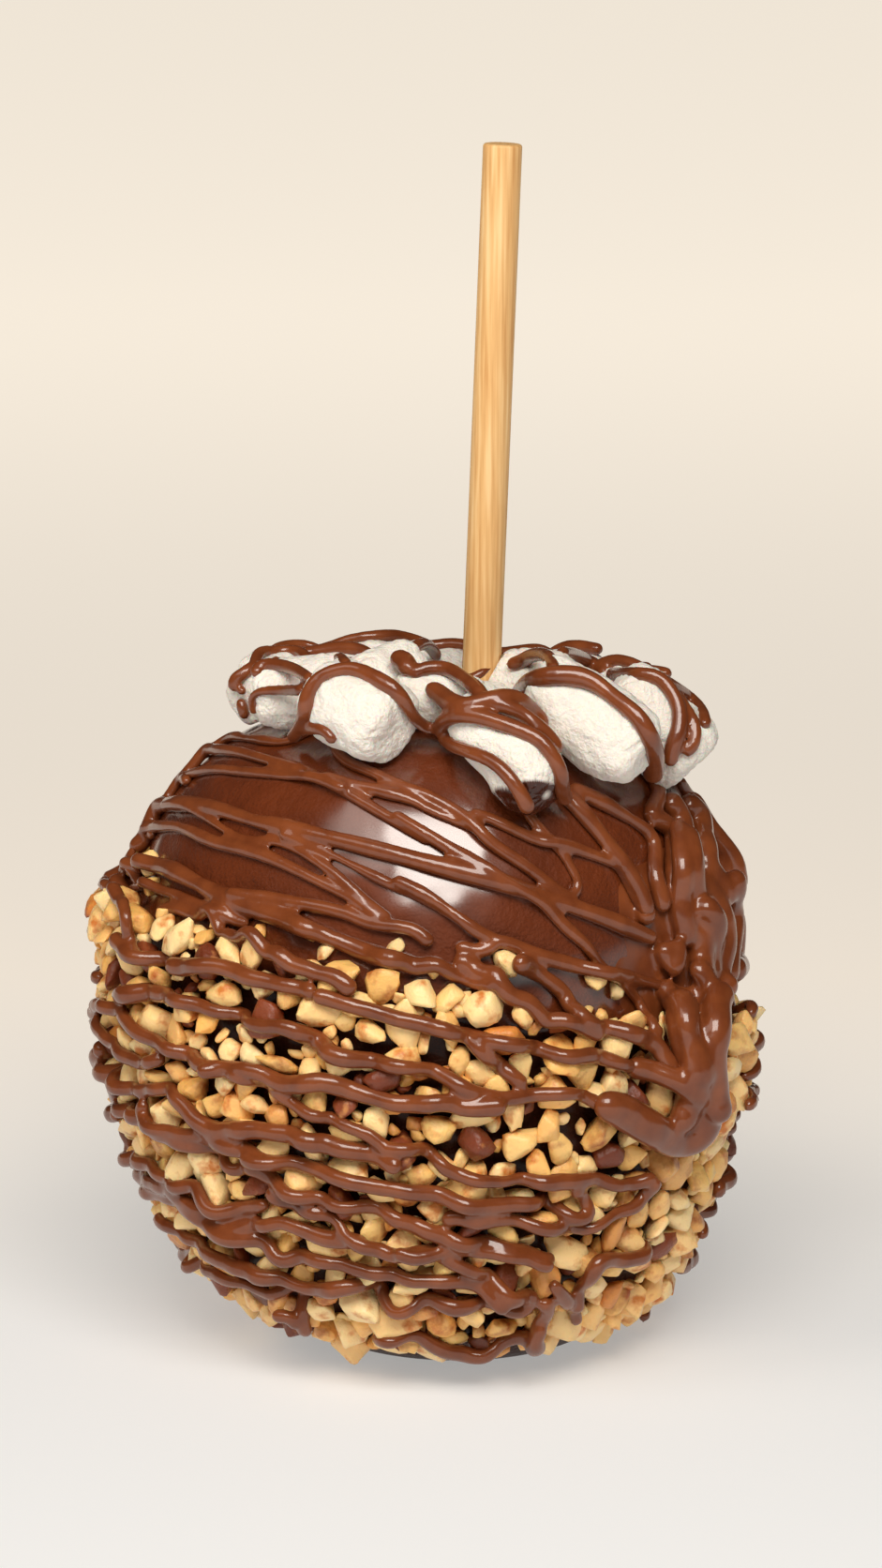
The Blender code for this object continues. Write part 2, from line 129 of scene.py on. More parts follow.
def addAttribute(piece, name, values):
    attribute = piece.data.attributes.new(name, "FLOAT", "POINT")
    attribute.data.foreach_set("value", np.asarray(values, dtype=np.float32))


def gridOf(first, second):
    return np.meshgrid(first, second, indexing="ij")


def gridFaces(rows, columns, around=True):
    # quads of a grid whose points run row after row; around joins the last column to the first
    row = np.arange(rows - 1)[:, None]
    column = np.arange(columns if around else columns - 1)[None, :]
    after = (column + 1) % columns
    corners = [row * columns + column, row * columns + after]
    corners += [(row + 1) * columns + after, (row + 1) * columns + column]
    return np.stack(np.broadcast_arrays(*corners), axis=-1).reshape(-1, 4)


def searchTree(points, faces):
    return BVHTree.FromPolygons([tuple(p) for p in points], [tuple(f) for f in faces.tolist()])


def closed(points, faces, rings):
    # quads cut into triangles, and a fan from each end ring of point numbers to its middle
    faces = np.concatenate([faces[:, [0, 1, 2]], faces[:, [0, 2, 3]]])
    for ring in rings:
        middle = np.full(len(ring), len(points))
        faces = np.concatenate([faces, np.stack([ring, np.roll(ring, -1), middle], axis=1)])
        points = np.vstack([points, points[ring].mean(axis=0)])
    return points, faces


def tube(points, rows, columns):
    first = np.arange(columns)
    return closed(points, gridFaces(rows, columns), (first[::-1], first + (rows - 1) * columns))


def merge(parts):
    points = []
    faces = []
    for partPoints, partFaces in parts:
        faces.append(partFaces + sum(len(p) for p in points))
        points.append(partPoints)
    return np.concatenate(points), np.concatenate(faces)


def sums(values):
    # running length along a path, from 0
    return np.concatenate([[0], np.cumsum(np.linalg.norm(np.diff(values, axis=0), axis=1))])


# the apple's outline: a superellipse each side of the widest ring, by azimuth and latitude

apple = {
    "footRadius": 14,
    "footShift": 4.5,
    "widestRadius": 43,
    "widestHeight": 51,
    "rimRadius": 18.5,
    "rimHeight": 93.5,
    "crownShift": 2.5,
    "topDip": 8,
    "backDrop": 6,
    "lowerFullness": 1.9,
    "upperFullness": 2.05,
    "wobble": (0.012, 0.009),
    "leftOut": 2,
}
belt = {
    "meanTop": 57.5,
    "toLeft": 8.5,
    "toFront": 4.5,
    "thickness": 3.2,
    "edge": 3,
    "footFade": 7,
    "heap": 2.4,
    "heapTurn": -82,
    "heapWidth": 26,
    "heapHeight": 62,
    "heapRise": 5.5,
}
mass = {
    "azimuth": 70,
    "width": 20,
    "thickness": 3.4,
    "low": 32,
    "high": 79,
    "fade": 8,
    "halfTurn": 34,
    "grid": 90,
    "sway": (5, 9),
    "flutes": (0.5, 2.6),
    "sunk": (0.7, 2.2),
    "beyond": 2,
}


def quarter(upper):
    # inner radius, rise and fullness of the outline above or below the widest ring
    inner = np.where(upper, apple["rimRadius"], apple["footRadius"])
    rise = np.where(upper, apple["rimHeight"] - apple["widestHeight"], apple["widestHeight"])
    return inner, rise, np.where(upper, apple["upperFullness"], apple["lowerFullness"])


def appleSurface(azimuth, latitude, lift):
    # out = cos(m)^(2/n), up = sin(m)^(2/n); the normal goes as (out^(n-1)/reach, up^(n-1)/rise)
    upper = latitude > 0
    inner, rise, fullness = quarter(upper)
    reach = apple["widestRadius"] - inner
    out = np.clip(np.cos(latitude), 1e-6, 1) ** (2 / fullness)
    up = np.clip(np.abs(np.sin(latitude)), 1e-6, 1) ** (2 / fullness)
    normalOut = out ** (fullness - 1) / reach
    normalUp = up ** (fullness - 1) / rise
    length = np.hypot(normalOut, normalUp)
    normalOut = normalOut / length
    sign = np.where(upper, 1, -1)
    normalUp = sign * normalUp / length
    first, second = apple["wobble"]
    wobble = first * np.cos(2 * azimuth + 0.6) + second * np.cos(3 * azimuth - 1)
    radius = (inner + reach * out) * (1 + wobble * out) + lift * normalOut
    up = up * sign
    drop = apple["backDrop"] * (0.5 - 0.5 * np.cos(azimuth)) * np.clip(up, 0, 1) ** 3
    height = apple["widestHeight"] + rise * up - drop + lift * normalUp
    shift = np.where(upper, apple["crownShift"] * up ** 3, apple["footShift"] * up ** 2)
    along = radius * np.sin(azimuth) + shift
    point = np.stack([along, -radius * np.cos(azimuth), np.maximum(height, 0)], axis=-1)
    normal = np.stack([np.sin(azimuth) * normalOut, -np.cos(azimuth) * normalOut, normalUp], axis=-1)
    return point, normal


def latitudeAt(height):
    rise, fullness = quarter(height > apple["widestHeight"])[1:]
    up = np.clip((height - apple["widestHeight"]) / rise, -1, 1)
    return np.sign(up) * np.arcsin(np.abs(up) ** (fullness / 2))


def beltTop(azimuth):
    return belt["meanTop"] - belt["toLeft"] * np.sin(azimuth) + belt["toFront"] * np.cos(azimuth)


def degreesFrom(azimuth, middle):
    return np.degrees(np.arctan2(np.sin(azimuth), np.cos(azimuth))) - middle


def massRise(offset, height):
    # a Gaussian across the run, faded in above its low end and out below its high end
    low = stepUp((height - mass["low"]) / mass["fade"], 0, 1)
    high = stepUp((mass["high"] - height) / mass["fade"], 0, 1)
    return mass["thickness"] * np.exp(-(offset / mass["width"]) ** 2) * low * high


def beltLift(azimuth, height):
    # swelling of the coat under nuts and poured run, in mm
    rise = belt["thickness"] * stepUp((beltTop(azimuth) - height) / belt["edge"] + 0.5, 0, 1)
    rise = rise + massRise(degreesFrom(azimuth, mass["azimuth"]), height)
    return rise * stepUp(height / belt["footFade"], 0, 1)


def leftHeap(azimuth, height):
    # nuts heaped on the belt's left shoulder, in mm
    aside = (degreesFrom(azimuth, belt["heapTurn"]) / belt["heapWidth"]) ** 2
    above = ((height - belt["heapHeight"]) / belt["heapRise"]) ** 2
    return belt["heap"] * np.exp(-aside - above)


# chocolate coat: azimuth by latitude, then rings across the dip at the top

coatLook = {
    "columns": 420,
    "rows": 190,
    "dipRows": 22,
    "footRows": 6,
    "swell": (0.34, 10.0),
    "ripple": (0.10, 3.4),
    "bedDepth": 5,
    "bedFrom": 0.2,
    "quickColumns": 180,
    "quickRows": 90,
}
columns = coatLook["columns"]
rows = coatLook["rows"]
turns = np.linspace(0, 2 * np.pi, columns, endpoint=False)
latitudes = np.linspace(-np.pi / 2, np.pi / 2, rows)
latitudeGrid, turnGrid = gridOf(latitudes, turns)
skin, skinNormals = appleSurface(turnGrid, latitudeGrid, np.zeros_like(turnGrid))
flat = skin.reshape(-1, 3)
swell = np.zeros(len(flat))
for wave, number in (("swell", 11), ("ripple", 12)):
    size, width = coatLook[wave]
    swell += size * latticeNoise(flat, width, number)
swell = swell.reshape(skin.shape[:2]) * stepUp(skin[..., 2], 1, 8)
skin = skin + skinNormals * swell[..., None]
shares = np.linspace(1, 0, coatLook["dipRows"] + 1)[1:]
shareGrid, dipTurns = gridOf(shares, turns)
dipHeight = apple["rimHeight"] - apple["topDip"] * (0.5 + 0.5 * np.cos(np.pi * shareGrid))
dipHeight -= apple["backDrop"] * (0.5 - 0.5 * shareGrid * np.cos(dipTurns))
dipRadius = apple["rimRadius"] * shareGrid
dipAlong = dipRadius * np.sin(dipTurns) + apple["crownShift"]
dip = np.stack([dipAlong, -dipRadius * np.cos(dipTurns), dipHeight], axis=-1)
footShares = np.linspace(0, 1, coatLook["footRows"] + 1)[:-1]
footGrid, footTurns = gridOf(footShares, turns)
footRadius = apple["footRadius"] * footGrid
footAlong = footRadius * np.sin(footTurns) + apple["footShift"]
foot = np.stack([footAlong, -footRadius * np.cos(footTurns), np.zeros_like(footRadius)], axis=-1)
coatPoints = np.concatenate([foot, skin, dip]).reshape(-1, 3)
coatFaces = gridFaces(len(foot) + len(skin) + len(dip), columns)
coat = makeMesh("coat", coatPoints, coatFaces)
# the mask is 1 on the coat that lies under the nuts, where its colour is darkened as painted shade in the
# gaps between them
coatTurns = np.arctan2(coatPoints[:, 0] - apple["leftOut"], -coatPoints[:, 1])
depth = (beltTop(coatTurns) - coatPoints[:, 2]) / coatLook["bedDepth"]
addAttribute(coat, "bed", stepUp(depth - coatLook["bedFrom"], 0, 1))
coatTree = searchTree(coatPoints, coatFaces)
print("coat", len(coatFaces) * 2)


# belt of chopped nuts: chunks cut by random planes, seeded, large ones first and crumbs between

nutLook = {
    "seed": 19,
    "large": (740, 1.7, 3.2, 0.86),
    "small": (560, 0.8, 1.5, 0.72),
    "outliers": (34, 1.0, 2.1, 0.9, 5.0),
    "tries": 26000,
    "castLift": 2.0,
    "topMargin": 0.6,
    "outlierDepth": 2,
    "shapes": 80,
    "cuts": (9, 13),
    "cutTurn": 0.17,
    "cutDepth": (0.74, 1.0),
    "cornerGap": 0.05,
    "flatAngle": 4,
    "flakeShare": 0.38,
    "chunk": (1.2, 1.0, 0.8),
    "flake": (1.3, 0.98, 0.5),
    "bevel": 0.15,
    "facetWeight": 90,
    "softened": 1,
    "rough": (0.13, 1.2),
    "lean": 0.7,
    "lowest": 5.5,
    "highest": 73,
    "sizeSkew": (1.6, 2.0),
    "reach": 46,
    "floorGap": 0.15,
    "sunk": 0.45,
    "bedded": (0.75, 0.6),
    "footFade": 15,
    "paleShare": 0.66,
    "skinnedShare": 0.10,
}


def nutShape(random, flake):
    # faces at random distances h round a centre; three planes meet where the hull of n / h has a face
    count = int(random.integers(*nutLook["cuts"]))
    rows = np.arange(count) + 0.5
    height = 1 - 2 * rows / count
    angle = rows * np.pi * (3 - 5 ** 0.5) + random.uniform(0, 6)
    flat = np.sqrt(1 - height ** 2)
    normals = np.stack([flat * np.cos(angle), flat * np.sin(angle), height], axis=1)
    normals = unit(normals + random.normal(0, nutLook["cutTurn"], (count, 3)))
    distances = random.uniform(*nutLook["cutDepth"], (count, 1))
    dual = bmesh.new()
    for place in normals / distances:
        dual.verts.new(place)
    bmesh.ops.convex_hull(dual, input=dual.verts)
    solid = bmesh.new()
    for face in dual.faces:
        corner = np.linalg.solve([list(vert.co) for vert in face.verts], [1.0, 1.0, 1.0])
        solid.verts.new(corner * (nutLook["flake"] if flake else nutLook["chunk"]))
    dual.free()
    bmesh.ops.remove_doubles(solid, verts=solid.verts, dist=nutLook["cornerGap"])
    bmesh.ops.convex_hull(solid, input=solid.verts)
    loose = [vert for vert in solid.verts if not vert.link_faces]
    bmesh.ops.delete(solid, geom=loose, context="VERTS")
    bmesh.ops.dissolve_limit(solid, angle_limit=math.radians(nutLook["flatAngle"]),
                             verts=solid.verts, edges=solid.edges)
    bmesh.ops.bevel(solid, geom=solid.edges[:], offset=nutLook["bevel"], offset_type="OFFSET",
                    segments=1, affect="EDGES", clamp_overlap=True)
    bmesh.ops.triangulate(solid, faces=solid.faces[:])
    for _ in range(nutLook["softened"]):
        bmesh.ops.smooth_vert(solid, verts=solid.verts, factor=0.5,
                              use_axis_x=True, use_axis_y=True, use_axis_z=True)
    solid.verts.index_update()
    points = np.array([list(vert.co) for vert in solid.verts])
    faces = np.array([[vert.index for vert in face.verts] for face in solid.faces])
    solid.free()
    return points, faces


def scatterNuts(random, placed, sizes, count, smallest, largest, closeness, top=0.0):
    # darts thrown at the belt; a dart stays if no earlier nut is nearer than the two sizes allow
    tries = nutLook["tries"]
    azimuths = random.uniform(0, 2 * np.pi, tries)
    heights = random.uniform(nutLook["lowest"], nutLook["highest"], tries)
    radii = smallest + (largest - smallest) * random.beta(*nutLook["sizeSkew"], tries)
    chance = random.uniform(0, 1, tries)
    points = appleSurface(azimuths, latitudeAt(heights), np.full(tries, nutLook["castLift"]))[0]
    # as many to each area: fewer stay where the apple is slim
    keep = chance < np.hypot(points[:, 0] - apple["leftOut"], points[:, 1]) / nutLook["reach"]
    if top > 0:
        keep &= heights > beltTop(azimuths) - nutLook["outlierDepth"]
        keep &= heights < beltTop(azimuths) + top
    else:
        keep &= heights < beltTop(azimuths) - nutLook["topMargin"] * radii
    added = 0
    for index in np.nonzero(keep)[0]:
        if added >= count:
            break
        if placed:
            away = np.linalg.norm(np.array(placed)[:, :3] - points[index], axis=1)
            if np.any(away < closeness * (radii[index] + np.array(sizes))):
                continue
        placed.append((*points[index], azimuths[index], heights[index]))
        sizes.append(radii[index])
        added += 1


random = np.random.default_rng(nutLook["seed"])
placed, sizes = [], []
scatterNuts(random, placed, sizes, *nutLook["large"])
largeCount = len(placed)
scatterNuts(random, placed, sizes, *nutLook["small"])
scatterNuts(random, placed, sizes, *nutLook["outliers"])
placed = np.array(placed)
sizes = np.array(sizes)
shapes = [nutShape(random, index < nutLook["flakeShare"] * nutLook["shapes"])
          for index in range(nutLook["shapes"])]
nutPoints, nutFaces, nutTones, nutKinds = [], [], [], []
start = 0
for index, size in enumerate(sizes):
    shape, faces = shapes[int(random.integers(len(shapes)))]
    azimuth, height = placed[index, 3], placed[index, 4]
    lift = float(beltLift(azimuth, height)) * nutLook["bedded"][0 if index < largeCount else 1]
    lift = max(lift, size * nutLook["sunk"]) * float(stepUp(height, 0, nutLook["footFade"]))
    lift += float(leftHeap(azimuth, height))
    centre, normal = appleSurface(np.array(azimuth), latitudeAt(np.array(height)), np.array(lift))
    side = unit(np.cross(normal, (0, 0, 1)))
    other = np.cross(normal, side)
    turn = random.uniform(0, 2 * np.pi)
    lean = random.normal(0, nutLook["lean"], 2)
    first = side * math.cos(turn) + other * math.sin(turn)
    third = unit(normal + side * lean[0] + other * lean[1])
    first = unit(first - third * (first @ third))
    chunk = centre + size * shape @ np.stack([first, np.cross(third, first), third])
    chunk[:, 2] = np.maximum(chunk[:, 2], nutLook["floorGap"])
    nutPoints.append(chunk)
    nutFaces.append(faces + start)
    nutTones.append(np.full(len(chunk), random.uniform(0, 1)))
    start += len(chunk)
    draw = random.uniform(0, 1)
    kind = 0 if draw < nutLook["paleShare"] else 1
    kind = 2 if draw > 1 - nutLook["skinnedShare"] else kind
    nutKinds.append(np.full(len(faces), kind))
nutPoints = np.concatenate(nutPoints)
size, width = nutLook["rough"]
nutPoints += size * np.stack([latticeNoise(nutPoints, width, seed) for seed in (41, 42, 43)], axis=1)
nutFaces, nutTones, nutKinds = (np.concatenate(part) for part in (nutFaces, nutTones, nutKinds))
nutTree = searchTree(nutPoints, nutFaces)
nutPieces = []
for kind, name in enumerate(("nuts.pale", "nuts.toasted", "nuts.skinned")):
    chosen = nutFaces[nutKinds == kind]
    used, numbers = np.unique(chosen, return_inverse=True)
    piece = makeMesh(name, nutPoints[used], numbers.reshape(chosen.shape))
    addAttribute(piece, "tone", nutTones[used])
    facets = piece.modifiers.new("facets", "WEIGHTED_NORMAL")
    facets.weight = nutLook["facetWeight"]
    nutPieces.append(piece)
print("nuts", len(sizes), len(nutFaces))


# marshmallows: rounded cylinders pressed against their neighbours, in the order of the part's nodes
# x, y, z, length, diameter, azimuth of the axis, fall of the axis

marshmallows = {
    "places": (
        (-21.9, 1.6, 94.4, 12, 10, 330, 8), (-20.4, 14.4, 93, 13, 10.4, 215, 6),
        (-15.8, 25.6, 90, 13.5, 10.6, 240, 4), (-16.4, -13.6, 96.6, 15, 10.4, 268, 5),
        (-9.2, -27.6, 96.6, 15, 12.3, 50, 14), (-5.2, -14.6, 98, 12, 10.6, 130, -8),
        (-4.6, 28.2, 90.6, 15.8, 11.6, 262, 2), (1.9, -21.6, 96.4, 13, 9.6, 70, 6),
        (7.2, -9.6, 92.9, 10.5, 9.4, 95, 4), (11.0, -32.2, 92.4, 18, 10.6, 48, 37),
        (22.8, -25.2, 94.8, 19.4, 12.5, 65, 28), (31.8, -13.6, 91.6, 16.5, 13, 88, 42),
        (15.4, -1.6, 95.2, 12, 11, 60, -6), (-10.4, 3, 93.6, 12, 10, 20, 0),
        (34, 3.6, 88.2, 14, 11.6, 100, 44), (30, 17.4, 88.8, 13.5, 10.6, 150, 20),
        (20.4, 26.8, 89.6, 14.5, 11.2, 120, 8), (8, 30.6, 88.8, 12.5, 10.6, 80, 4),
        (1.2, 14.2, 92.4, 14, 10.4, 290, 0), (15.2, 13.2, 91.8, 12.5, 10.2, 30, 0),
    ),
    "around": 96,
    "along": 72,
    "quickAround": 48,
    "quickAlong": 36,
    "squareness": (0.4, 0.5),
    "clearance": 0.35,
    "pole": 0.012,
    "neighbour": 22,
    "endShare": 0.12,
    "press": 0.25,
    "dent": (0.55, 4.2),
    "wrinkle": (0.3, 2.1),
    "dipped": 10,
    "dipHeight": 89.3,
    "dipMiddle": 14.5,
    "dipCurve": 0.078,
    "dipThickness": 0.3,
    "dipEdge": 0.12,
    "dipWander": (0.55, 1.7),
}
stick = {
    "diameter": 5.5,
    "lean": 2.2,
    "top": 171.8,
    "atRim": 7.8,
    "bottom": 60,
    "chamfer": 0.45,
    "around": 64,
    "along": 90,
}
stickLean = math.radians(stick["lean"])
stickAlong = np.array([math.sin(stickLean), 0, math.cos(stickLean)])
stickBase = np.array([stick["atRim"], 0, apple["rimHeight"]])

centres = np.array([place[:3] for place in marshmallows["places"]])
spans = np.array([place[4] / 2 + marshmallows["endShare"] * place[3] for place in marshmallows["places"]])
around = marshmallows["around"]
along = marshmallows["along"]
marshPieces, marshParts = [], []
for index, place in enumerate(marshmallows["places"]):
    centre = centres[index]
    half, radius = place[3] / 2, place[4] / 2
    azimuth, fall = math.radians(place[5]), math.radians(place[6])
    level = math.cos(fall)
    axis = np.array([math.sin(azimuth) * level, -math.cos(azimuth) * level, -math.sin(fall)])
    side = unit(np.cross(axis, (0, 0, 1)))
    up = np.cross(side, axis)
    # ring = r sin(b)^p and reach = h cos(b)^q, from one pole to the other
    bend = np.linspace(marshmallows["pole"], np.pi - marshmallows["pole"], along)
    turn = np.linspace(0, 2 * np.pi, around, endpoint=False)
    bendGrid, turnGrid = gridOf(bend, turn)
    ring = radius * np.sin(bendGrid) ** marshmallows["squareness"][0]
    reach = np.cos(bendGrid)
    reach = half * np.sign(reach) * np.abs(reach) ** marshmallows["squareness"][1]
    local = axis * reach[..., None] + ring[..., None] * (
        side * np.cos(turnGrid)[..., None] + up * np.sin(turnGrid)[..., None])
    flat = local.reshape(-1, 3)
    outward = unit(flat)
    dent = marshmallows["dent"][0] * latticeNoise(flat + 40 * index, marshmallows["dent"][1], 31)
    for size, number in ((1.0, 32), (0.45, 33)):
        depth, width = marshmallows["wrinkle"]
        dent -= depth * size * (1 - np.abs(latticeNoise(flat + 40 * index, width * size, number))) ** 3
    points = centre + flat + outward * dent[:, None]
    # pressed flat, with a soft edge, against the plane half way to each neighbour
    for other in range(len(centres)):
        toward = centres[other] - centre
        distance = np.linalg.norm(toward)
        if other == index or distance > marshmallows["neighbour"]:
            continue
        toward /= distance
        share = distance * spans[index] / (spans[index] + spans[other]) - marshmallows["clearance"] / 2
        past = (points - centre) @ toward - share
        press = marshmallows["press"]
        points -= toward * (press * np.logaddexp(0, past / press))[:, None]
    clear = 2 * marshmallows["clearance"]
    for number, point in enumerate(points):
        near, normal = coatTree.find_nearest(Vector(point), 12)[:2]
        if near is not None and (Vector(point) - near).dot(normal) < clear:
            points[number] = np.array(near + normal * clear)
    tip = np.zeros(len(points))
    if index + 1 == marshmallows["dipped"]:
        aside = points[:, 0] - marshmallows["dipMiddle"]
        size, width = marshmallows["dipWander"]
        edge = marshmallows["dipHeight"] - marshmallows["dipCurve"] * aside ** 2
        edge += size * latticeNoise(points, width, 37)
        tip = stepUp(edge - points[:, 2], -marshmallows["dipEdge"], marshmallows["dipEdge"])
        points += outward * (marshmallows["dipThickness"] * tip)[:, None]
    offset = points - stickBase
    offset -= (offset @ stickAlong)[:, None] * stickAlong
    gap = np.linalg.norm(offset, axis=1, keepdims=True)
    push = np.clip(stick["diameter"] / 2 + marshmallows["clearance"] - gap, 0, None)
    points += offset / np.maximum(gap, 0.2) * push
    points, triangles = tube(points, along, around)
    piece = makeMesh(f"sweet.{index + 1:02d}", points, triangles)
    addAttribute(piece, "tip", np.append(tip, [0, 0]))
    marshPieces.append(piece)
    marshParts.append((points, triangles))
marshPoints, marshFaces = merge(marshParts)
marshTree = searchTree(marshPoints, marshFaces)
print("marshmallows", len(marshFaces))


# stick: a round rod with a small chamfer at the top

rodTurns = np.linspace(0, 2 * np.pi, stick["around"], endpoint=False)
rodLow = (stick["bottom"] - stickBase[2]) / stickAlong[2]
rodHigh = (stick["top"] - stickBase[2]) / stickAlong[2]
# closed foot, straight side, a quarter round for the chamfer, then rings in to the middle of the top
rodRadius, chamfer = stick["diameter"] / 2, stick["chamfer"]
cut = np.linspace(0, 1, 6)[1:] * np.pi / 2
shaft = np.linspace(rodLow, rodHigh - chamfer, stick["along"])
lengths = np.concatenate([[rodLow], shaft, rodHigh - chamfer * (1 - np.sin(cut)), np.full(3, rodHigh)])
rodRadii = np.concatenate([[0], np.full(len(shaft), rodRadius), rodRadius - chamfer * (1 - np.cos(cut)),
                           (rodRadius - chamfer) * np.array([0.66, 0.33, 0])])
lengthGrid, rodGrid = gridOf(lengths, rodTurns)
radiusGrid = np.broadcast_to(rodRadii[:, None], lengthGrid.shape)
rodSide = np.cross(stickAlong, (0, 1, 0))
rodOther = np.cross(stickAlong, rodSide)
rodPoints = stickBase + stickAlong * lengthGrid[..., None] + radiusGrid[..., None] * (
    rodSide * np.cos(rodGrid)[..., None] + rodOther * np.sin(rodGrid)[..., None])
rodPoints = rodPoints.reshape(-1, 3)
rod = makeMesh("rod", rodPoints, gridFaces(len(lengths), stick["around"]))
print("stick")


# drizzle, marked in the photo's own pixels: half width in mm, then x and y of each mark in turn

shoulderMarks = {
    "leftRim": (0.9, [215, 804, 241, 790, 302, 794, 337, 780]),
    "leftHigh": (0.95, [192, 833, 200, 816, 213, 807, 237, 804, 280, 811, 348, 835, 460, 898]),
    "leftSecond": (0.9, [167, 857, 176, 842, 192, 833, 237, 824, 332, 833, 374, 848]),
    "leftBranch": (0.85, [348, 833, 430, 851, 462, 866, 520, 890]),
    "leftBroad": (1.3, [144, 909, 143, 891, 150, 876, 163, 865, 183, 860, 228, 863, 272, 876, 298, 882,
        391, 904, 460, 922, 512, 936, 560, 951, 640, 978, 701, 1002]),
    "leftThin": (0.8, [183, 865, 207, 865, 259, 894, 304, 900, 350, 926, 391, 961, 418, 982]),
    "leftLow": (0.95, [155, 887, 192, 883, 235, 900, 285, 913, 372, 956, 408, 980, 458, 1002]),
    "leftCross": (0.85, [304, 891, 350, 910, 413, 941, 462, 964, 509, 994]),
    "leftBeltEdge": (1.35, [120, 932, 133, 939, 148, 928, 183, 927, 246, 959, 319, 985, 391, 1015, 460,
        1041, 494, 1046, 527, 1065]),
    "leftBeltSecond": (1.0, [137, 941, 192, 956, 250, 982, 268, 986]),
    "leftBeltThird": (1.1, [250, 954, 304, 961, 363, 972, 398, 985, 439, 991, 462, 1008]),
    "leftBeltFourth": (1.2, [168, 961, 207, 974, 250, 1000, 311, 1027, 354, 1040, 378, 1060]),
    "leftRimDown": (1.1, [120, 956, 131, 965, 137, 978, 133, 998, 137, 1013, 146, 1022]),
    "leftBeltFifth": (1.3, [118, 998, 140, 1019, 185, 1031, 228, 1030, 267, 1043, 337, 1059]),
    "middleHigh": (0.9, [337, 779, 354, 787, 361, 803, 374, 816, 398, 826, 424, 837, 458, 850, 491, 869,
        522, 899, 553, 920, 599, 953, 611, 953, 615, 943, 609, 928, 596, 907, 568, 877, 559, 859, 553,
        843, 540, 828]),
    "middleSecond": (0.9, [420, 869, 451, 889, 504, 920, 553, 951, 578, 966, 604, 991, 624, 1009, 642,
        1032, 685, 1070, 713, 1104]),
    "middleLow": (1.0, [420, 938, 446, 951, 471, 966, 509, 994, 532, 1004]),
    "rightHigh": (0.9, [499, 869, 522, 874, 573, 897, 599, 902, 650, 920, 665, 933, 687, 976]),
    "rightBroad": (1.5, [596, 846, 614, 864, 647, 905, 678, 951, 688, 978]),
    "rightThird": (1.2, [604, 841, 650, 864, 693, 894, 701, 935, 711, 973]),
    "rightFourth": (1.5, [696, 812, 694, 831, 698, 851, 690, 871, 708, 884, 721, 902, 724, 953, 730,
        968]),
    "beltHook": (1.15, [484, 1009, 514, 1014, 532, 1004, 573, 1019, 632, 1035, 655, 1040, 701, 1050, 726,
        1059]),
    "beltLoop": (1.35, [484, 1019, 514, 1042, 530, 1063, 573, 1073, 624, 1096, 651, 1107]),
    "beltBroad": (1.5, [540, 1022, 583, 1045, 616, 1076, 657, 1096, 701, 1113, 713, 1132, 717, 1152]),
}
massMarks = {
    "massOne": (1.9, [702, 850, 720, 877, 733, 907, 750, 938, 765, 968]),
    "massTwo": (2.0, [722, 858, 745, 880, 758, 905, 772, 935, 784, 960]),
    "massThree": (2.0, [725, 895, 736, 930, 748, 963, 752, 999, 750, 1035, 748, 1060]),
    "massFour": (1.9, [780, 905, 799, 940, 806, 980, 800, 1010, 792, 1035]),
    "massFive": (2.1, [755, 925, 772, 965, 778, 1000, 773, 1040, 775, 1070]),
    "massSix": (2.0, [776, 930, 790, 970, 790, 1010, 784, 1050]),
    "massSeven": (2.0, [736, 1024, 747, 1050, 744, 1075, 736, 1095]),
    "massEight": (1.7, [713, 885, 724, 925, 729, 968, 738, 1010]),
    "massNine": (1.5, [765, 1050, 748, 1060, 726, 1059, 701, 1052]),
    "massEdge": (2.0, [738, 843, 757, 866, 777, 892, 790, 925, 802, 950]),
    "massInner": (1.8, [741, 960, 760, 985, 764, 1012, 760, 1048]),
    "massLow": (2.2, [775, 1040, 762, 1070, 748, 1095, 742, 1124]),
    "pour": (2.7, [724, 1080, 734, 1124, 745, 1155, 748, 1188, 737, 1210, 716, 1216, 690, 1201, 655, 1181,
        632, 1175]),
    "pourSide": (2.4, [759, 1060, 750, 1095, 744, 1124, 748, 1160, 748, 1190]),
    "pourInner": (2.5, [718, 1060, 724, 1100, 730, 1140, 728, 1180, 712, 1200]),
    "pourJoin": (2.0, [675, 1139, 701, 1144, 721, 1154, 739, 1172]),
    "blobOne": (1.7, [680, 966, 689, 977, 694, 985]),
    "blobTwo": (1.8, [704, 1005, 712, 1020, 714, 1034]),
    "blobThree": (1.6, [721, 1000, 719, 1025, 709, 1037]),
}
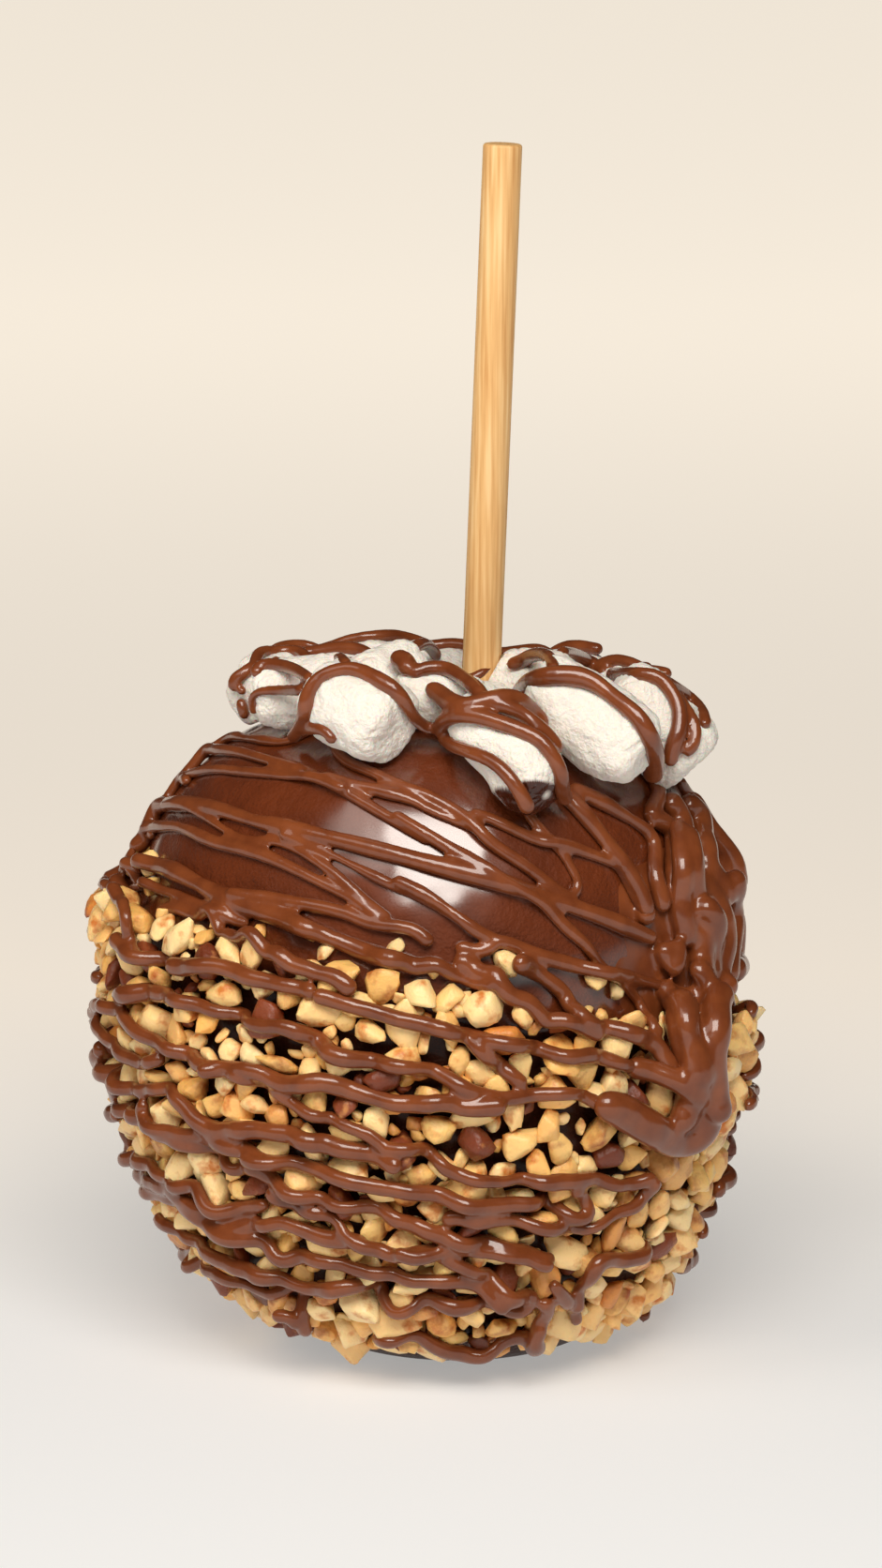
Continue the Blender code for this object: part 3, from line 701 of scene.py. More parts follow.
beltMarks = {
    "topLeft": (1.3, [118, 1062, 148, 1060, 191, 1067, 230, 1082, 278, 1094, 308, 1096, 344, 1121, 385,
        1133, 430, 1138, 471, 1149, 517, 1170, 563, 1172, 609, 1166, 644, 1180, 716, 1220]),
    "topShort": (1.2, [332, 1060, 380, 1075, 430, 1089, 471, 1098, 502, 1108, 548, 1114, 599, 1126, 639,
        1128, 701, 1147]),
    "topFork": (1.2, [502, 1108, 517, 1124, 535, 1139, 565, 1162]),
    "secondLeft": (1.3, [91, 1062, 94, 1072, 109, 1072, 123, 1079, 152, 1104, 174, 1118, 208, 1136, 240,
        1141, 264, 1143, 300, 1158, 342, 1155, 383, 1170, 430, 1179, 471, 1175, 497, 1182, 540, 1177]),
    "secondHook": (1.15, [97, 1078, 111, 1106, 128, 1125, 145, 1135, 168, 1130]),
    "thirdLeft": (1.2, [215, 1140, 245, 1147, 281, 1164, 327, 1188, 392, 1212, 409, 1225, 439, 1228, 466,
        1241, 489, 1254, 548, 1262, 624, 1262, 675, 1267, 700, 1253]),
    "fourthLeft": (1.35, [106, 1118, 106, 1138, 118, 1150, 138, 1164, 177, 1167, 220, 1206, 264, 1205,
        312, 1212, 366, 1228, 430, 1244]),
    "fifthLeft": (1.2, [116, 1158, 118, 1179, 150, 1196, 182, 1214, 215, 1232, 243, 1252, 266, 1250, 286,
        1263, 344, 1284, 400, 1296, 446, 1313, 498, 1329, 548, 1337, 593, 1348]),
    "sixthLeft": (1.2, [152, 1174, 155, 1193, 191, 1209, 240, 1222, 276, 1235, 312, 1247, 361, 1256, 430,
        1272, 477, 1280, 522, 1287, 573, 1287, 613, 1300, 630, 1296, 626, 1280, 612, 1270]),
    "seventhLeft": (1.25, [108, 1205, 113, 1226, 143, 1239, 179, 1262, 206, 1270, 237, 1293, 281, 1290]),
    "eighthLeft": (1.25, [112, 1228, 135, 1252, 179, 1275, 215, 1295, 240, 1312, 266, 1310, 300, 1306,
        344, 1322, 392, 1326]),
    "ninthLeft": (1.2, [281, 1271, 300, 1286, 352, 1303, 366, 1316, 414, 1337, 455, 1339, 505, 1359, 545,
        1380, 575, 1389]),
    "tenthLeft": (1.25, [131, 1256, 179, 1287, 201, 1292, 228, 1310, 276, 1328, 300, 1345, 337, 1347, 385,
        1358, 430, 1366, 478, 1369, 512, 1376, 540, 1389]),
    "crossShort": (1.15, [471, 1307, 497, 1302, 548, 1305, 599, 1312, 624, 1315, 651, 1303, 683, 1288,
        696, 1270, 697, 1256]),
    "crossLow": (1.1, [420, 1330, 446, 1338, 500, 1337, 553, 1341, 588, 1348]),
    "lowLeft": (1.25, [167, 1298, 188, 1320, 206, 1334, 240, 1347, 281, 1363, 329, 1379, 361, 1374, 385,
        1380, 417, 1402, 460, 1394, 492, 1396, 551, 1403, 572, 1392]),
    "footLeft": (1.2, [172, 1322, 196, 1346, 235, 1365, 276, 1383, 300, 1386, 313, 1398, 318, 1412, 326,
        1427]),
    "footShort": (1.1, [293, 1399, 308, 1404, 318, 1416]),
    "footFront": (1.25, [399, 1437, 412, 1430, 439, 1436, 465, 1446, 505, 1455, 538, 1446, 568, 1435, 577,
        1418, 585, 1400, 578, 1386]),
    "footRight": (1.2, [588, 1366, 602, 1385, 618, 1406, 621, 1419]),
    "riseRight": (1.3, [618, 1404, 626, 1372, 638, 1346, 664, 1345, 700, 1336]),
    "dropRight": (1.2, [575, 1449, 571, 1429, 580, 1412]),
    "innerLeft": (1.1, [260, 1233, 289, 1237, 319, 1246]),
}
crownMarks = {
    "edgeLeft": (0.95, [250, 740, 250, 711, 258, 699, 274, 695, 349, 695, 363, 701, 372, 712]),
    "innerLeft": (0.9, [274, 724, 274, 711, 291, 708, 313, 713, 334, 726]),
    "lowerLeft": (0.9, [274, 763, 268, 747, 277, 737, 325, 736]),
    "bandLeft": (0.9, [250, 736, 266, 737]),
    "dropLeft": (0.85, [254, 742, 259, 754, 262, 770]),
    "arch": (1.1, [310, 790, 324, 769, 327, 744, 338, 724, 356, 715, 377, 713, 399, 722, 420, 735, 431,
        747, 440, 763, 450, 773, 463, 778, 470, 772]),
    "edgeFront": (0.95, [318, 778, 345, 777, 358, 795]),
    "ridge": (1.05, [359, 695, 366, 679, 384, 672, 406, 672, 434, 679, 456, 687, 470, 706]),
    "ridgeBack": (0.9, [459, 683, 477, 685, 493, 686]),
    "blobMiddle": (1.6, [415, 704, 427, 702, 436, 710, 435, 722]),
    "middle": (1.1, [435, 722, 452, 713, 477, 713, 495, 724, 509, 735, 516, 746]),
    "middleBlob": (1.5, [452, 738, 463, 735, 477, 747, 495, 754, 516, 748, 534, 744, 552, 748, 570, 765,
        583, 781]),
    "forward": (1.15, [470, 785, 470, 772, 484, 763, 506, 763, 531, 770, 556, 779, 577, 790, 591, 808,
        599, 826, 599, 842, 606, 856]),
    "downFront": (1.1, [470, 781, 481, 794, 499, 801, 524, 811, 541, 826, 556, 847, 566, 869]),
    "bundle": (1.3, [518, 746, 541, 754, 563, 765, 581, 783, 599, 806]),
    "broadRight": (1.5, [552, 746, 563, 729, 581, 722, 606, 720, 631, 726, 656, 744, 681, 765, 695, 790,
        699, 811, 695, 833]),
    "behindStick": (1.05, [538, 708, 552, 708, 566, 699, 581, 697, 590, 706, 590, 718]),
    "bundleRight": (1.3, [595, 697, 613, 699, 631, 708, 649, 720]),
    "farRight": (1.15, [649, 720, 695, 720, 713, 733, 724, 754, 724, 779, 716, 801, 716, 820]),
    "outerRight": (1.1, [695, 720, 720, 733, 740, 749, 750, 762, 752, 778]),
    "betweenRight": (1.0, [718, 734, 731, 754, 741, 772, 740, 794, 727, 806]),
    "backLeft": (0.9, [291, 684, 302, 676, 316, 674, 334, 681, 352, 694]),
}
strands = {
    "seed": 23,
    "step": 0.5,
    "sides": 12,
    "guideLift": 1.7,
    "markStep": 12,
    "flat": 0.88,
    "widthWave": (0.12, 7.0),
    "waveLimits": (-0.28, 0.35),
    "wander": (0.35, 4.5),
    "bridge": 1.2,
    "settle": 1.1,
    "rest": 0.6,
    "crownRest": 0.8,
    "thin": 0.95,
    "stack": 0.7,
    "stackLimit": 1.5,
    "tipLength": 1.1,
    "voxels": {"shoulder": 0.3, "belt": 0.335, "pour": 0.36, "back": 0.43, "crown": 0.3},
    "rounding": 3,
    "rounded": 0.55,
    "quickVoxel": 0.9,
    "guideGrid": (200, 120),
    "crownSettle": 1.6,
    "crownFrom": 130,
    "crownFloor": 70,
    "backGirth": 40,
    "backWander": 1.9,
    "backLimits": (2.5, 90),
    "backRadius": (0.95, 1.35),
    "backShoulderRadius": 0.9,
    "backCrownRadius": 1.05,
    "backPasses": 8,
    "backHighest": 53.5,
    "backPitch": 6.2,
    "backOverlap": 18,
}
# azimuth in degrees and height in mm of the shoulder strands behind
backShoulder = {
    "rightUp": [(86, 82), (96, 76), (104, 69), (116, 61)],
    "rightDown": [(92, 70), (112, 72), (140, 66), (170, 60)],
    "high": [(112, 77), (145, 73), (185, 70), (222, 66), (250, 58)],
    "upper": [(138, 79), (168, 78.5), (205, 75), (238, 69), (262, 64)],
    "left": [(216, 81), (240, 79), (262, 74), (276, 70)],
    "low": [(128, 66), (160, 69), (195, 66), (228, 61), (255, 55)],
}
# the same for those that carry the front ones on round the left
leftShoulder = {
    "one": [(212, 56), (240, 60), (262, 63), (282, 66)],
    "two": [(226, 61), (246, 66), (264, 69), (284, 70.5)],
    "three": [(204, 66), (232, 71), (258, 73.5), (279, 75)],
    "four": [(233, 69), (250, 75), (266, 78), (285, 79.5)],
    "five": [(219, 75), (243, 80), (263, 82), (281, 84)],
    "six": [(238, 58), (252, 61.5), (266, 66.5), (286, 69)],
}
# x and y of the crown strands behind, seen from above
backCrown = {
    "one": [(-24, 8), (-18, 14), (-8, 13), (2, 17), (12, 14), (22, 18), (32, 13), (37, 8)],
    "two": [(-20, 22), (-12, 24), (-3, 20), (6, 25), (16, 20), (26, 24), (33, 20)],
    "three": [(-16, 30), (-8, 29), (0, 32), (8, 28), (17, 32), (26, 27)],
    "four": [(-18, 4), (-8, 7), (1, 4), (8, 7)],
    "five": [(14, 8), (20, 3), (28, 7), (35, 2)],
}


def smoothLine(points, step):
    # Catmull-Rom through the points, then one point per step of length
    points = np.asarray(points, dtype=float)
    padded = np.vstack([2 * points[0] - points[1], points, 2 * points[-1] - points[-2]])
    share = np.linspace(0, 1, 24, endpoint=False)[:, None]
    line = []
    for index in range(1, len(padded) - 2):
        before, first, second, after = padded[index - 1:index + 3]
        cubic = 2 * first + (second - before) * share
        cubic = cubic + (2 * before - 5 * first + 4 * second - after) * share ** 2
        cubic = cubic + (3 * first - before - 3 * second + after) * share ** 3
        line.append(cubic / 2)
    line = np.vstack([*line, points[-1:]])
    lengths = sums(line)
    count = max(int(lengths[-1] / step), 4)
    marks = np.linspace(0, lengths[-1], count + 1)
    return np.stack([np.interp(marks, lengths, line[:, k]) for k in range(line.shape[1])], axis=1)


def spread(values, width):
    # Gaussian average along the first axis, the ends held
    reach = max(int(3 * width), 1)
    weights = np.exp(-0.5 * (np.arange(-reach, reach + 1) / width) ** 2)
    weights /= weights.sum()
    values = np.asarray(values, dtype=float)
    shaped = values if values.ndim > 1 else values[:, None]
    padded = np.pad(shaped, ((reach, reach), (0, 0)), mode="edge")
    result = sum(weight * padded[k:k + len(shaped)] for k, weight in enumerate(weights))
    return result if values.ndim > 1 else result[:, 0]


def highest(values, reach):
    # the highest value within reach of each place
    padded = np.pad(values, reach, mode="edge")
    return np.max([padded[k:k + len(values)] for k in range(2 * reach + 1)], axis=0)


# guide surface over the belt, which the marked strands are cast on
guideTurns = np.linspace(0, 2 * np.pi, strands["guideGrid"][0], endpoint=False)
guideRows = np.linspace(-np.pi / 2, np.pi / 2, strands["guideGrid"][1])
guideLatitudes, guideAzimuths = gridOf(guideRows, guideTurns)
guideHeights = appleSurface(guideAzimuths, guideLatitudes, np.zeros_like(guideAzimuths))[0][..., 2]
guideLift = beltLift(guideAzimuths, guideHeights)
guideLift = guideLift + strands["guideLift"] * stepUp(guideLift, 0.5, 3)
guideLift = guideLift + leftHeap(guideAzimuths, guideHeights)
guidePoints = appleSurface(guideAzimuths, guideLatitudes, guideLift)[0].reshape(-1, 3)
guideFaces = gridFaces(len(guideRows), len(guideTurns))
guideTree = searchTree(guidePoints, guideFaces)


def castMarks(pixels):
    # points on the guide surface under the marks; past the outline, the nearest point on it
    start, directions = rays(pixels)
    found = []
    for direction in directions:
        hit = guideTree.ray_cast(Vector(start), Vector(direction))[0]
        if hit is None:
            reach = -start[1] / direction[1]
            hit = guideTree.find_nearest(Vector(start + direction * reach))[0]
        found.append(hit)
    return np.array([tuple(hit) for hit in found])


def surfaceNormals(points):
    normals = [guideTree.find_nearest(Vector(point))[1] for point in points]
    return unit(spread(np.array([tuple(normal) for normal in normals]), 3))


def carve(path, normals, radii):
    # an ellipse of points carried along the path, its ends drawn in to a round tip
    travel = unit(np.gradient(path, axis=0))
    side = unit(np.cross(travel, normals))
    up = np.cross(side, travel)
    lengths = sums(path)
    toEnd = np.minimum(lengths, lengths[-1] - lengths)
    tip = np.sqrt(1 - np.clip(1 - (toEnd + 0.02) / (strands["tipLength"] * radii), 0, 1) ** 2)
    reach = radii * tip
    turn = np.linspace(0, 2 * np.pi, strands["sides"], endpoint=False)
    rings = path[:, None] + reach[:, None, None] * (
        side[:, None] * np.cos(turn)[:, None] + strands["flat"] * up[:, None] * np.sin(turn)[:, None])
    return tube(rings.reshape(-1, 3), len(path), len(turn))


def waveRadii(random, count, radius):
    # radius times 1 plus a wave between random knots
    size, length = strands["widthWave"]
    knots = random.normal(0, size, int(count * strands["step"] / length) + 3)
    wave = np.interp(np.linspace(0, len(knots) - 1, count), np.arange(len(knots)), knots)
    return radius * (1 + np.clip(wave, *strands["waveLimits"]))


def drape(path, radii, trees, laid=None, reach=9.0):
    # lays a path on what lies under it: casts down the normal, takes the highest, then settles;
    # over strands laid before, it rises by a share of their height
    normals = surfaceNormals(path)
    side = unit(np.cross(np.gradient(path, axis=0), normals))
    heights = np.full(len(path), -reach)
    for offset in (-0.5, 0.0, 0.5):
        starts = path + normals * reach + side * (offset * radii)[:, None]
        for index, start in enumerate(starts):
            for surface in trees:
                hit = surface.ray_cast(Vector(start), Vector(-normals[index]), 2 * reach)
                if hit[0] is not None:
                    heights[index] = max(heights[index], reach - hit[3])
    known = heights > -reach
    heights = np.interp(np.arange(len(heights)), np.nonzero(known)[0], heights[known])
    if laid is not None:
        over = heights.copy()
        for index, place in enumerate(path + normals * reach):
            hit = laid.ray_cast(Vector(place), Vector(-normals[index]), reach - heights[index])
            if hit[0] is not None:
                over[index] = reach - hit[3]
        raised = np.minimum(strands["stack"] * (over - heights), strands["stackLimit"] * radii)
        heights = heights + spread(raised, 2)
    heights = highest(heights, int(strands["bridge"] / strands["step"] / 2))
    heights = spread(heights, strands["settle"] / strands["step"])
    return path + normals * (heights + strands["rest"] * radii)[:, None], normals


def hang(pixels, radius, random):
    # crown strand: casts through the camera on the marshmallows and coat, nearest first, then settles
    line = smoothLine(np.reshape(pixels, (-1, 2)), strands["step"] / view["pixel"])
    start, directions = rays(line)
    reaches = []
    for direction in directions:
        hits = [surface.ray_cast(Vector(start), Vector(direction))[3] for surface in (marshTree, coatTree)]
        hits = [hit for hit in hits if hit is not None]
        if not hits:
            far = Vector(start + direction * view["reach"])
            near = np.array(marshTree.find_nearest(far)[0]) - start
            hits = [np.linalg.norm(near)]
            direction[:] = near / hits[0]
        reaches.append(min(hits))
    reaches = np.array(reaches)
    reaches = -highest(-reaches, int(strands["bridge"] / strands["step"]))
    reaches = spread(reaches, strands["crownSettle"] * strands["settle"] / strands["step"])
    directions = spread(directions, 1.5)
    radii = waveRadii(random, len(line), radius * strands["thin"])
    path = start + directions * (reaches - strands["crownRest"] * radii)[:, None]
    return path, -directions, radii


def fuse(name, parts, rounding):
    # all strands of a group as one skin: remeshed by voxels, then the creases rounded
    # built a thousand times larger, as the voxels are sized in whole units
    points, faces = merge(parts)
    piece = makeMesh(name, points / milli, faces)
    remesh = piece.modifiers.new("remesh", "REMESH")
    remesh.mode = "VOXEL"
    remesh.voxel_size = strands["voxels"][name.split(".")[1]]
    bpy.context.view_layer.update()
    made = piece.evaluated_get(bpy.context.evaluated_depsgraph_get()).to_mesh()
    shaped = np.empty(len(made.vertices) * 3)
    made.vertices.foreach_get("co", shaped)
    shaped = shaped.reshape(-1, 3)
    edges = np.empty(len(made.edges) * 2, dtype=np.int32)
    made.edges.foreach_get("vertices", edges)
    edges = edges.reshape(-1, 2)
    corners = np.empty(len(made.loops), dtype=np.int32)
    made.loops.foreach_get("vertex_index", corners)
    corners = corners.reshape(-1, 4)
    bpy.data.objects.remove(piece)
    ends = np.concatenate([edges, edges[:, ::-1]])
    degree = np.maximum(np.bincount(ends[:, 0], minlength=len(shaped)), 1)[:, None]
    for _ in range(rounding):
        total = [np.bincount(ends[:, 0], weights=part, minlength=len(shaped))
                 for part in shaped[ends[:, 1]].T]
        shaped = shaped + strands["rounded"] * (np.stack(total, axis=1) / degree - shaped)
    shaped[:, 2] = np.maximum(shaped[:, 2], 0)
    return makeMesh(name, shaped, corners)


random = np.random.default_rng(strands["seed"])


def markedStrands(marks, trees):
    parts = []
    for radius, pixels in marks.values():
        line = smoothLine(np.reshape(pixels, (-1, 2)), strands["markStep"])
        path = smoothLine(castMarks(line), strands["step"])
        radii = waveRadii(random, len(path), radius * strands["thin"])
        laid = searchTree(*merge(parts)) if parts else None
        path, normals = drape(path, radii, trees, laid)
        parts.append(carve(path, normals, radii))
    return parts


def ruledStrand(line, radius, trees):
    # (azimuth, height) knots in degrees and mm, with a seeded wander
    line = np.array(line, dtype=float)
    girth = strands["backGirth"]
    line = smoothLine(line * (math.radians(1) * girth, 1), 1.0)
    size, length = strands["wander"]
    wander = size * spread(random.normal(0, 1, len(line)), length)
    line[:, 1] += wander * length ** 0.5 * strands["backWander"]
    azimuths = line[:, 0] / girth
    heights = np.clip(line[:, 1], *strands["backLimits"])
    points = appleSurface(azimuths, latitudeAt(heights), beltLift(azimuths, heights) + 1)[0]
    path = smoothLine(points[::2], strands["step"])
    radii = waveRadii(random, len(path), radius)
    path, normals = drape(path, radii, trees)
    return carve(path, normals, radii)


def massSheet():
    # the thick run on the right: a closed sheet that rises out of the coat by the belt's own swelling
    turns = mass["azimuth"] + np.linspace(-mass["halfTurn"], mass["halfTurn"], mass["grid"])
    turns = np.radians(turns)
    heights = np.linspace(mass["low"] - mass["beyond"], mass["high"] + mass["beyond"], mass["grid"])
    heightGrid, turnGrid = gridOf(heights, turns)
    flat = appleSurface(turnGrid, latitudeAt(heightGrid), np.zeros_like(turnGrid))[0].reshape(-1, 3)
    size, width = mass["sway"]
    sway = size * latticeNoise(flat, width, 51).reshape(turnGrid.shape)
    rise = massRise(np.degrees(turnGrid) - mass["azimuth"] + sway, heightGrid)
    size, width = mass["flutes"]
    flutes = size * latticeNoise(flat * (1, 1, 0.3), width, 52).reshape(rise.shape)
    rise = rise + flutes * np.minimum(rise, 1)
    high, low = mass["sunk"]
    top = appleSurface(turnGrid, latitudeAt(heightGrid), rise - high)[0]
    bottom = appleSurface(turnGrid, latitudeAt(heightGrid), np.full_like(rise, -low))[0]
    # rows run over the top sheet and back under it, the two ends are closed by fans
    around = np.concatenate([top, bottom[::-1]])
    rows, columns = around.shape[:2]
    faces = gridFaces(rows, columns, around=False)
    last = (rows - 1) * columns + np.arange(columns - 1)
    first = np.arange(columns - 1)
    faces = np.concatenate([faces, np.stack([last, last + 1, first + 1, first], axis=1)])
    edge = np.arange(rows) * columns
    return closed(around.reshape(-1, 3), faces, (edge[::-1], edge + columns - 1))


sheet = massSheet()
sheetTree = searchTree(*sheet)
under = (coatTree, nutTree, sheetTree)
groups = {
    "drizzle.shoulder": markedStrands(shoulderMarks, under),
    "drizzle.belt": markedStrands(beltMarks, under),
    "drizzle.pour": [sheet] + markedStrands(massMarks, under),
}
shoulderRadius = strands["backShoulderRadius"]
backParts = [ruledStrand(line, shoulderRadius, under) for line in backShoulder.values()]
for index in range(strands["backPasses"]):
    high = strands["backHighest"] - strands["backPitch"] * index
    early, late = random.uniform(0, strands["backOverlap"], 2)
    line = [(84 - early, high - 4), (105, high - 2), (145, high), (190, high + 1),
            (232, high + 2), (264 + late, high + 5)]
    backParts.append(ruledStrand(line, random.uniform(*strands["backRadius"]), under))
groups["drizzle.back"] = backParts
crownParts = []
for radius, pixels in crownMarks.values():
    path, normals, radii = hang(pixels, radius, random)
    crownParts.append(carve(path, normals, radii))
for line in backCrown.values():
    line = smoothLine(line, strands["step"])
    heights = []
    for x, y in line:
        above, down = Vector((x, y, strands["crownFrom"])), Vector((0, 0, -1))
        hits = [surface.ray_cast(above, down)[0] for surface in (marshTree, coatTree)]
        hits = [hit.z for hit in hits if hit is not None]
        heights.append(max(hits) if hits else strands["crownFloor"])
    heights = spread(highest(np.array(heights), 4), 4)
    radii = waveRadii(random, len(line), strands["backCrownRadius"])
    path = np.column_stack([line, heights + strands["rest"] * radii])
    crownParts.append(carve(path, np.tile((0.0, 0.0, 1.0), (len(line), 1)), radii))
groups["drizzle.crown"] = crownParts
backParts += [ruledStrand(line, shoulderRadius, under) for line in leftShoulder.values()]
drizzlePieces = []
for name, parts in groups.items():
    rounds = strands["rounding"] * (2 if name == "drizzle.pour" else 1)
    piece = fuse(name, parts, rounds)
    drizzlePieces.append(piece)
    print(name, len(piece.data.polygons) * 2)


# nodes, and the relief group that every chocolate, nut and sweet uses


def setInputs(node, values):
    # an underscore in a label stands for a space
    for label, value in values.items():
        node.inputs[label.replace("_", " ")].default_value = value


def addNode(tree, kind, **values):
    node = tree.nodes.new("ShaderNode" + kind)
    setInputs(node, values)
    return node


def join(tree, *pairs):
    for start, end in pairs:
        tree.links.new(start, end)


def attributeIn(tree, name):
    node = addNode(tree, "Attribute")
    node.attribute_name = name
    return node.outputs["Fac"]


def mapIn(tree, value, **limits):
    node = addNode(tree, "MapRange", **limits)
    join(tree, (value, node.inputs["Value"]))
    return node.outputs[0]


def noiseIn(tree, scale, detail=3):
    noise = addNode(tree, "TexNoise", Scale=scale, Detail=detail)
    join(tree, (addNode(tree, "TexCoord").outputs["Object"], noise.inputs["Vector"]))
    return noise.outputs[0]


def ramp(tree, factor, stops):
    node = addNode(tree, "ValToRGB")
    while len(node.color_ramp.elements) < len(stops):
        node.color_ramp.elements.new(0.5)
    for element, (place, colour) in zip(node.color_ramp.elements, stops):
        element.position = place
        element.color = colour
    join(tree, (factor, node.inputs[0]))
    return node.outputs[0]


def mixColour(tree, factor, first, second):
    mix = tree.nodes.new("ShaderNodeMix")
    mix.data_type = "RGBA"
    for socket, value in ((mix.inputs[0], factor), (mix.inputs[6], first), (mix.inputs[7], second)):
        if isinstance(value, bpy.types.NodeSocket):
            join(tree, (value, socket))
        else:
            socket.default_value = value
    return mix.outputs[2]


def srgb(red, green, blue):
    linear = []
    for part in (red, green, blue):
        share = part / 255
        linear.append(share / 12.92 if share <= 0.04045 else ((share + 0.055) / 1.055) ** 2.4)
    return (*linear, 1)


# relief: two scales of noise in the object's own coordinates, as a bump
relief = bpy.data.node_groups.new("relief", "ShaderNodeTree")
for label in ("Size", "Fine Size", "Fine Share", "Depth"):
    relief.interface.new_socket(name=label, in_out="INPUT", socket_type="NodeSocketFloat")
relief.interface.new_socket(name="Normal", in_out="OUTPUT", socket_type="NodeSocketVector")
reliefIn = relief.nodes.new("NodeGroupInput")
reliefOut = relief.nodes.new("NodeGroupOutput")
reliefPlace = addNode(relief, "TexCoord")
broad, fine = addNode(relief, "TexNoise", Detail=3), addNode(relief, "TexNoise", Detail=3)
for noise, label in ((broad, "Size"), (fine, "Fine Size")):
    join(relief, (reliefPlace.outputs["Object"], noise.inputs["Vector"]),
         (reliefIn.outputs[label], noise.inputs["Scale"]))
weigh = addNode(relief, "Math")
weigh.operation = "MULTIPLY_ADD"
reliefBump = addNode(relief, "Bump", Strength=1)
join(relief, (fine.outputs[0], weigh.inputs[0]), (reliefIn.outputs["Fine Share"], weigh.inputs[1]),
     (broad.outputs[0], weigh.inputs[2]), (weigh.outputs[0], reliefBump.inputs["Height"]),
     (reliefIn.outputs["Depth"], reliefBump.inputs["Distance"]),
     (reliefBump.outputs[0], reliefOut.inputs["Normal"]))


def material(name, **values):
    made = bpy.data.materials.new(name)
    made.use_nodes = True
    shader = made.node_tree.nodes["Principled BSDF"]
    setInputs(shader, values)
    return made, made.node_tree, shader


def addRelief(tree, shader, values):
    node = addNode(tree, "Group")
    node.node_tree = relief
    setInputs(node, dict(zip(("Size", "Fine_Size", "Fine_Share", "Depth"), values)))
    join(tree, (node.outputs[0], shader.inputs["Normal"]))
    return node


# chocolate: the dark coat, with painted shade and less gloss where its mask attribute is 1, on the coat
# under the nuts, and the milk chocolate of the drizzle

chocolate = {
    "dark": [(0.3, srgb(94, 40, 14)), (0.7, srgb(112, 50, 19))],
    "darkPatches": 90,
    "darkRelief": (520, 2400, 0.5, 0.0005),
    # painted shade: the darker colour of the coat in the gaps between the nuts
    "bed": srgb(54, 23, 11),
    "bedGloss": 0.1,
    "milk": [(0.3, srgb(106, 50, 21)), (0.7, srgb(130, 67, 32))],
    "milkPatches": 260,
    "milkRelief": (420, 2200, 0.2, 0.00006),
}
dark, darkTree, darkShader = material("darkChocolate", Roughness=0.5, Specular_IOR_Level=0.1,
                                      Coat_Weight=1.0, Coat_Roughness=0.17, Coat_IOR=1.85)
darkColour = ramp(darkTree, noiseIn(darkTree, chocolate["darkPatches"]), chocolate["dark"])
# painted shade: the coat under the nuts is mixed towards the darker colour, and it is less glossy there
bedValue = attributeIn(darkTree, "bed")
bedColour = mixColour(darkTree, bedValue, darkColour, chocolate["bed"])
bedGloss = mapIn(darkTree, bedValue, To_Min=1, To_Max=chocolate["bedGloss"])
join(darkTree, (bedColour, darkShader.inputs["Base Color"]), (bedGloss, darkShader.inputs["Coat Weight"]))
addRelief(darkTree, darkShader, chocolate["darkRelief"])

milk, milkTree, milkShader = material("milkChocolate", Roughness=0.5, Specular_IOR_Level=0.15,
                                      Coat_Weight=0.75, Coat_Roughness=0.13, Coat_IOR=1.6)
milkColour = ramp(milkTree, noiseIn(milkTree, chocolate["milkPatches"]), chocolate["milk"])
join(milkTree, (milkColour, milkShader.inputs["Base Color"]))
addRelief(milkTree, milkShader, chocolate["milkRelief"])


# nuts: three colours to each kind along its tone, a darker patch colour and where its patches begin

nutFinish = {
    "paleNut": ((255, 206, 130), (255, 222, 162), (252, 188, 102), 0.5, (206, 122, 50), (0.54, 0.68)),
    "toastedNut": ((236, 172, 88), (250, 206, 128), (214, 134, 60), 0.5, (166, 84, 28), (0.48, 0.7)),
    "skinnedNut": ((106, 46, 22), (134, 64, 32), (92, 40, 18), 0.6, (190, 126, 70), (0.6, 0.7)),
}
nutRelief = (800, 3000, 0.35, 0.00022)
nutPatches = (330, 4)
nutMade = []
for name, (low, middle, high, share, patch, patchEdge) in nutFinish.items():
    made, nutNodes, shader = material(name, Roughness=0.42, Subsurface_Weight=0.2, Subsurface_Scale=0.0015)
    stops = [(0, srgb(*low)), (share, srgb(*middle)), (1, srgb(*high))]
    base = ramp(nutNodes, attributeIn(nutNodes, "tone"), stops)
    patchStops = list(zip(patchEdge, ((0, 0, 0, 1), (1, 1, 1, 1))))
    spots = ramp(nutNodes, noiseIn(nutNodes, *nutPatches), patchStops)
    join(nutNodes, (mixColour(nutNodes, spots, base, srgb(*patch)), shader.inputs["Base Color"]))
    addRelief(nutNodes, shader, nutRelief)
    nutMade.append(made)


# marshmallow; where its tip attribute is 1, it is dipped in dark chocolate, glossier and smoother

sweetLook = {
    "plain": srgb(238, 231, 221),
    "dipped": srgb(62, 24, 10),
    "rough": 0.75,
    "dippedRough": 0.2,
    "relief": (700, 2200, 0.5, 0.0005),
    "dippedDepth": 0.00005,
}
sweet, sweetTree, sweetShader = material("marshmallow", Roughness=sweetLook["rough"],
                                         Subsurface_Weight=0.25, Subsurface_Scale=0.002)
tipValue = attributeIn(sweetTree, "tip")
tipColour = mixColour(sweetTree, tipValue, sweetLook["plain"], sweetLook["dipped"])
tipRough = mapIn(sweetTree, tipValue, To_Min=sweetLook["rough"], To_Max=sweetLook["dippedRough"])
tipDepth = mapIn(sweetTree, tipValue, To_Min=sweetLook["relief"][3], To_Max=sweetLook["dippedDepth"])
sweetRelief = addRelief(sweetTree, sweetShader, sweetLook["relief"])
join(sweetTree, (tipColour, sweetShader.inputs["Base Color"]), (tipRough, sweetShader.inputs["Roughness"]),
     (tipDepth, sweetRelief.inputs["Depth"]))


# wood of the stick, its grain drawn out along the height

